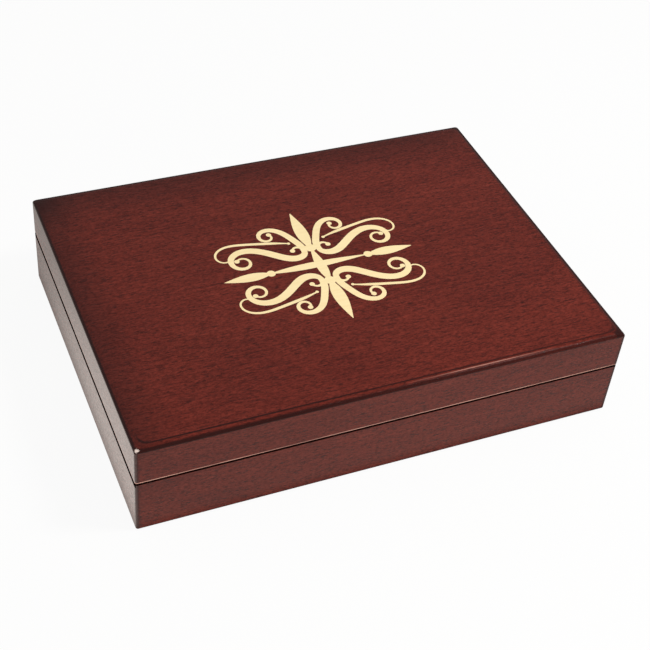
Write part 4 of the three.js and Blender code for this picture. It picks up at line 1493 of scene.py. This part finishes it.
def makeHinges():
    turns = iter(hinges["screwSlotTurns"])
    for hand in hinges["hands"]:
        makeBaseLeaf(hand)
        makeLidLeaf(hand)
        makePin(hand)
        for body in ("base", "lid"):
            makeScrews(hand, body, turns)


# Felt under the base

felt = {"corner": 2.0, "ease": 0.25}


def makeFelt():
    low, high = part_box("base_felt")
    ease = mm(felt["ease"])
    section = [*quarter(ease, low.z + ease, ease, 270, 180), *quarter(ease, high.z - ease, ease, 180, 90)]
    bm = bmesh.new()
    loops = []
    for inset, z in section:
        loops.append(roundedLoop(bm, high.x - inset, high.y - inset, mm(felt["corner"]) - inset, z))
    bridge(bm, loops, closed=False)
    sheet = toObject(bm, "felt_base_sheet", materials["felt"], sharpAngle=60.0)
    dress(sheet, "base", "felt", "base_felt")


def colourFrameSolids():
    # The coil and the calibration screw are the frame's own solids
    for name in ("humidity_coil", "calibration_screw"):
        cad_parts[name].data.materials.clear()
        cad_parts[name].data.materials.append(materials["brass"])


# Floor, light and surroundings

studio = {
    "floorSize": 60.0,
    "floorColour": "#e9e8e4",
    "floorShadowShare": 0.07,
    "reflectedFloor": "#fff5ed",
    "reflectedLeftAlong": (-45.0, 150.0),
    "reflectedLeftFar": 0.46,
    "leftBlend": 4.0,
    "reflectedFront": 0.41,
    "reflectedShadowBehind": 0.06,
    "behindBlend": 8.0,
    "reflectedFootShadow": 0.15,
    "footWidth": 5.0,
    "horizon": "#1c1c1c",
    "horizonHeights": (0.03, 0.15),
    "worldStrength": 0.46,
    "backGrey": "#747474",
    "frontGrey": "#686868",
    "greysAlong": (-0.2, 0.55),
}


def rayShares(add):
    # One for mirrored rays, and one for these and the camera's
    rays = add("rays")
    mirrored = add("larger", rays["Is Glossy Ray"], rays["Is Transmission Ray"])
    return mirrored, add("larger", mirrored, rays["Is Camera Ray"])


def whiteFloor(add, place):
    # Plain white. The camera sees it as white but for a little of the shadow on it. Reflections see painted
    # light and shade on it: white beside the box's left, fading towards the back, grey in front, and a
    # painted shadow behind the box and at its foot.
    s = studio
    mirrored, seen = rayShares(add)
    spot = add("split", place)
    left = add("softRamp", spot[1], *mm(*s["reflectedLeftAlong"]), 1.0, s["reflectedLeftFar"])
    behind = mm(s["behindBlend"]) - outerY
    right = add("ramp", spot[1], -outerY, behind, s["reflectedFront"], s["reflectedShadowBehind"])
    foot = add("ramp", spot[1], -outerY - mm(s["footWidth"]), -outerY, 1.0, s["reflectedFootShadow"])
    blend = mm(s["leftBlend"])
    sideways = add("ramp", spot[0], -outerX - blend, -outerX + blend)
    level = add("mix", mirrored, "#ffffff", add("mix", sideways, left, add("product", right, foot)))
    tint = add("mix", mirrored, "#ffffff", s["reflectedFloor"])
    colour = add("tint", 1.0, tint, level)
    plain = add("diffuse", s["floorColour"])
    white = add("emission", colour, 1.0)
    share = add("product", seen, 1 - s["floorShadowShare"])
    return add("shaders", share, plain, white)


def makeFloor():
    bm = bmesh.new()
    bmesh.ops.create_grid(bm, x_segments=1, y_segments=1, size=studio["floorSize"] / 2)
    mesh = bpy.data.meshes.new("floor")
    bm.to_mesh(mesh)
    bm.free()
    mesh.materials.append(makeMaterial("white_floor", whiteFloor))
    newObject(mesh, "floor")


def makeWorld():
    # Even studio light. The camera sees white all round. Reflections see a grey room with a dark low
    # horizon, which draws the box's rounded edges dark.
    s = studio
    world = bpy.data.worlds.new("studio")
    bpy.context.scene.world = world
    world.use_nodes = True
    world.node_tree.nodes.clear()
    add = partial(addNode, world.node_tree)
    spot = add("split", add("direction"))
    room = add("mix", add("softRamp", spot[1], *s["greysAlong"]), s["frontGrey"], s["backGrey"])
    sweep = add("mix", add("softRamp", spot[2], *s["horizonHeights"]), s["horizon"], room)
    mirrored, seen = rayShares(add)
    lit = add("background", "#ffffff", s["worldStrength"])
    shown = add("background", add("mix", mirrored, "#ffffff", sweep), 1.0)
    add("sky", add("shaders", seen, lit, shown))


# The key and the fill light the wood without a hot spot in its lacquer, and the sheen is only a reflection
lamps = {
    "key": {"place": (510, -310, 920), "size": (180, 260), "power": 7.3, "hiddenFrom": "glossy"},
    "sheen": {"place": (520, -230, 930), "size": (160, 160), "power": 0.12, "hiddenFrom": "diffuse"},
    "fill": {"place": (-300, -700, 260), "size": (220, 220), "power": 0.8, "hiddenFrom": "glossy"},
}


def makeLamps():
    for name, lamp in lamps.items():
        data = bpy.data.lights.new(name, "AREA")
        data.shape = "RECTANGLE"
        data.size, data.size_y = mm(*lamp["size"])
        data.energy = lamp["power"]
        light = newObject(data, name)
        light.location = mm(*lamp["place"])
        light.rotation_euler = (-light.location).to_track_quat("-Z", "Y").to_euler()
        light.visible_glossy = lamp["hiddenFrom"] != "glossy"
        light.visible_diffuse = lamp["hiddenFrom"] != "diffuse"


stages = {
    "camera": (makeCamera,),
    "boards and inlay": (makeBase, makeLidRails, makeLidBoard),
    "lining and felt": (makeLining, makeDivider, makeLidPanel, makeFelt),
    "humidifier": (makeHumidifierCase, makeHumidifierCover, makeFoam, makeMagnets),
    "hygrometer": (makeHygrometerCase, makeRing, makeBezel, makeLens, makeDial, makeNeedle),
    "hinges": (makeHinges, colourFrameSolids),
    "studio": (makeFloor, makeWorld, makeLamps),
}
for stage, makers in stages.items():
    for make in makers:
        make()
    print(stage, "made")
bpy.context.scene.view_settings.view_transform = "Standard"
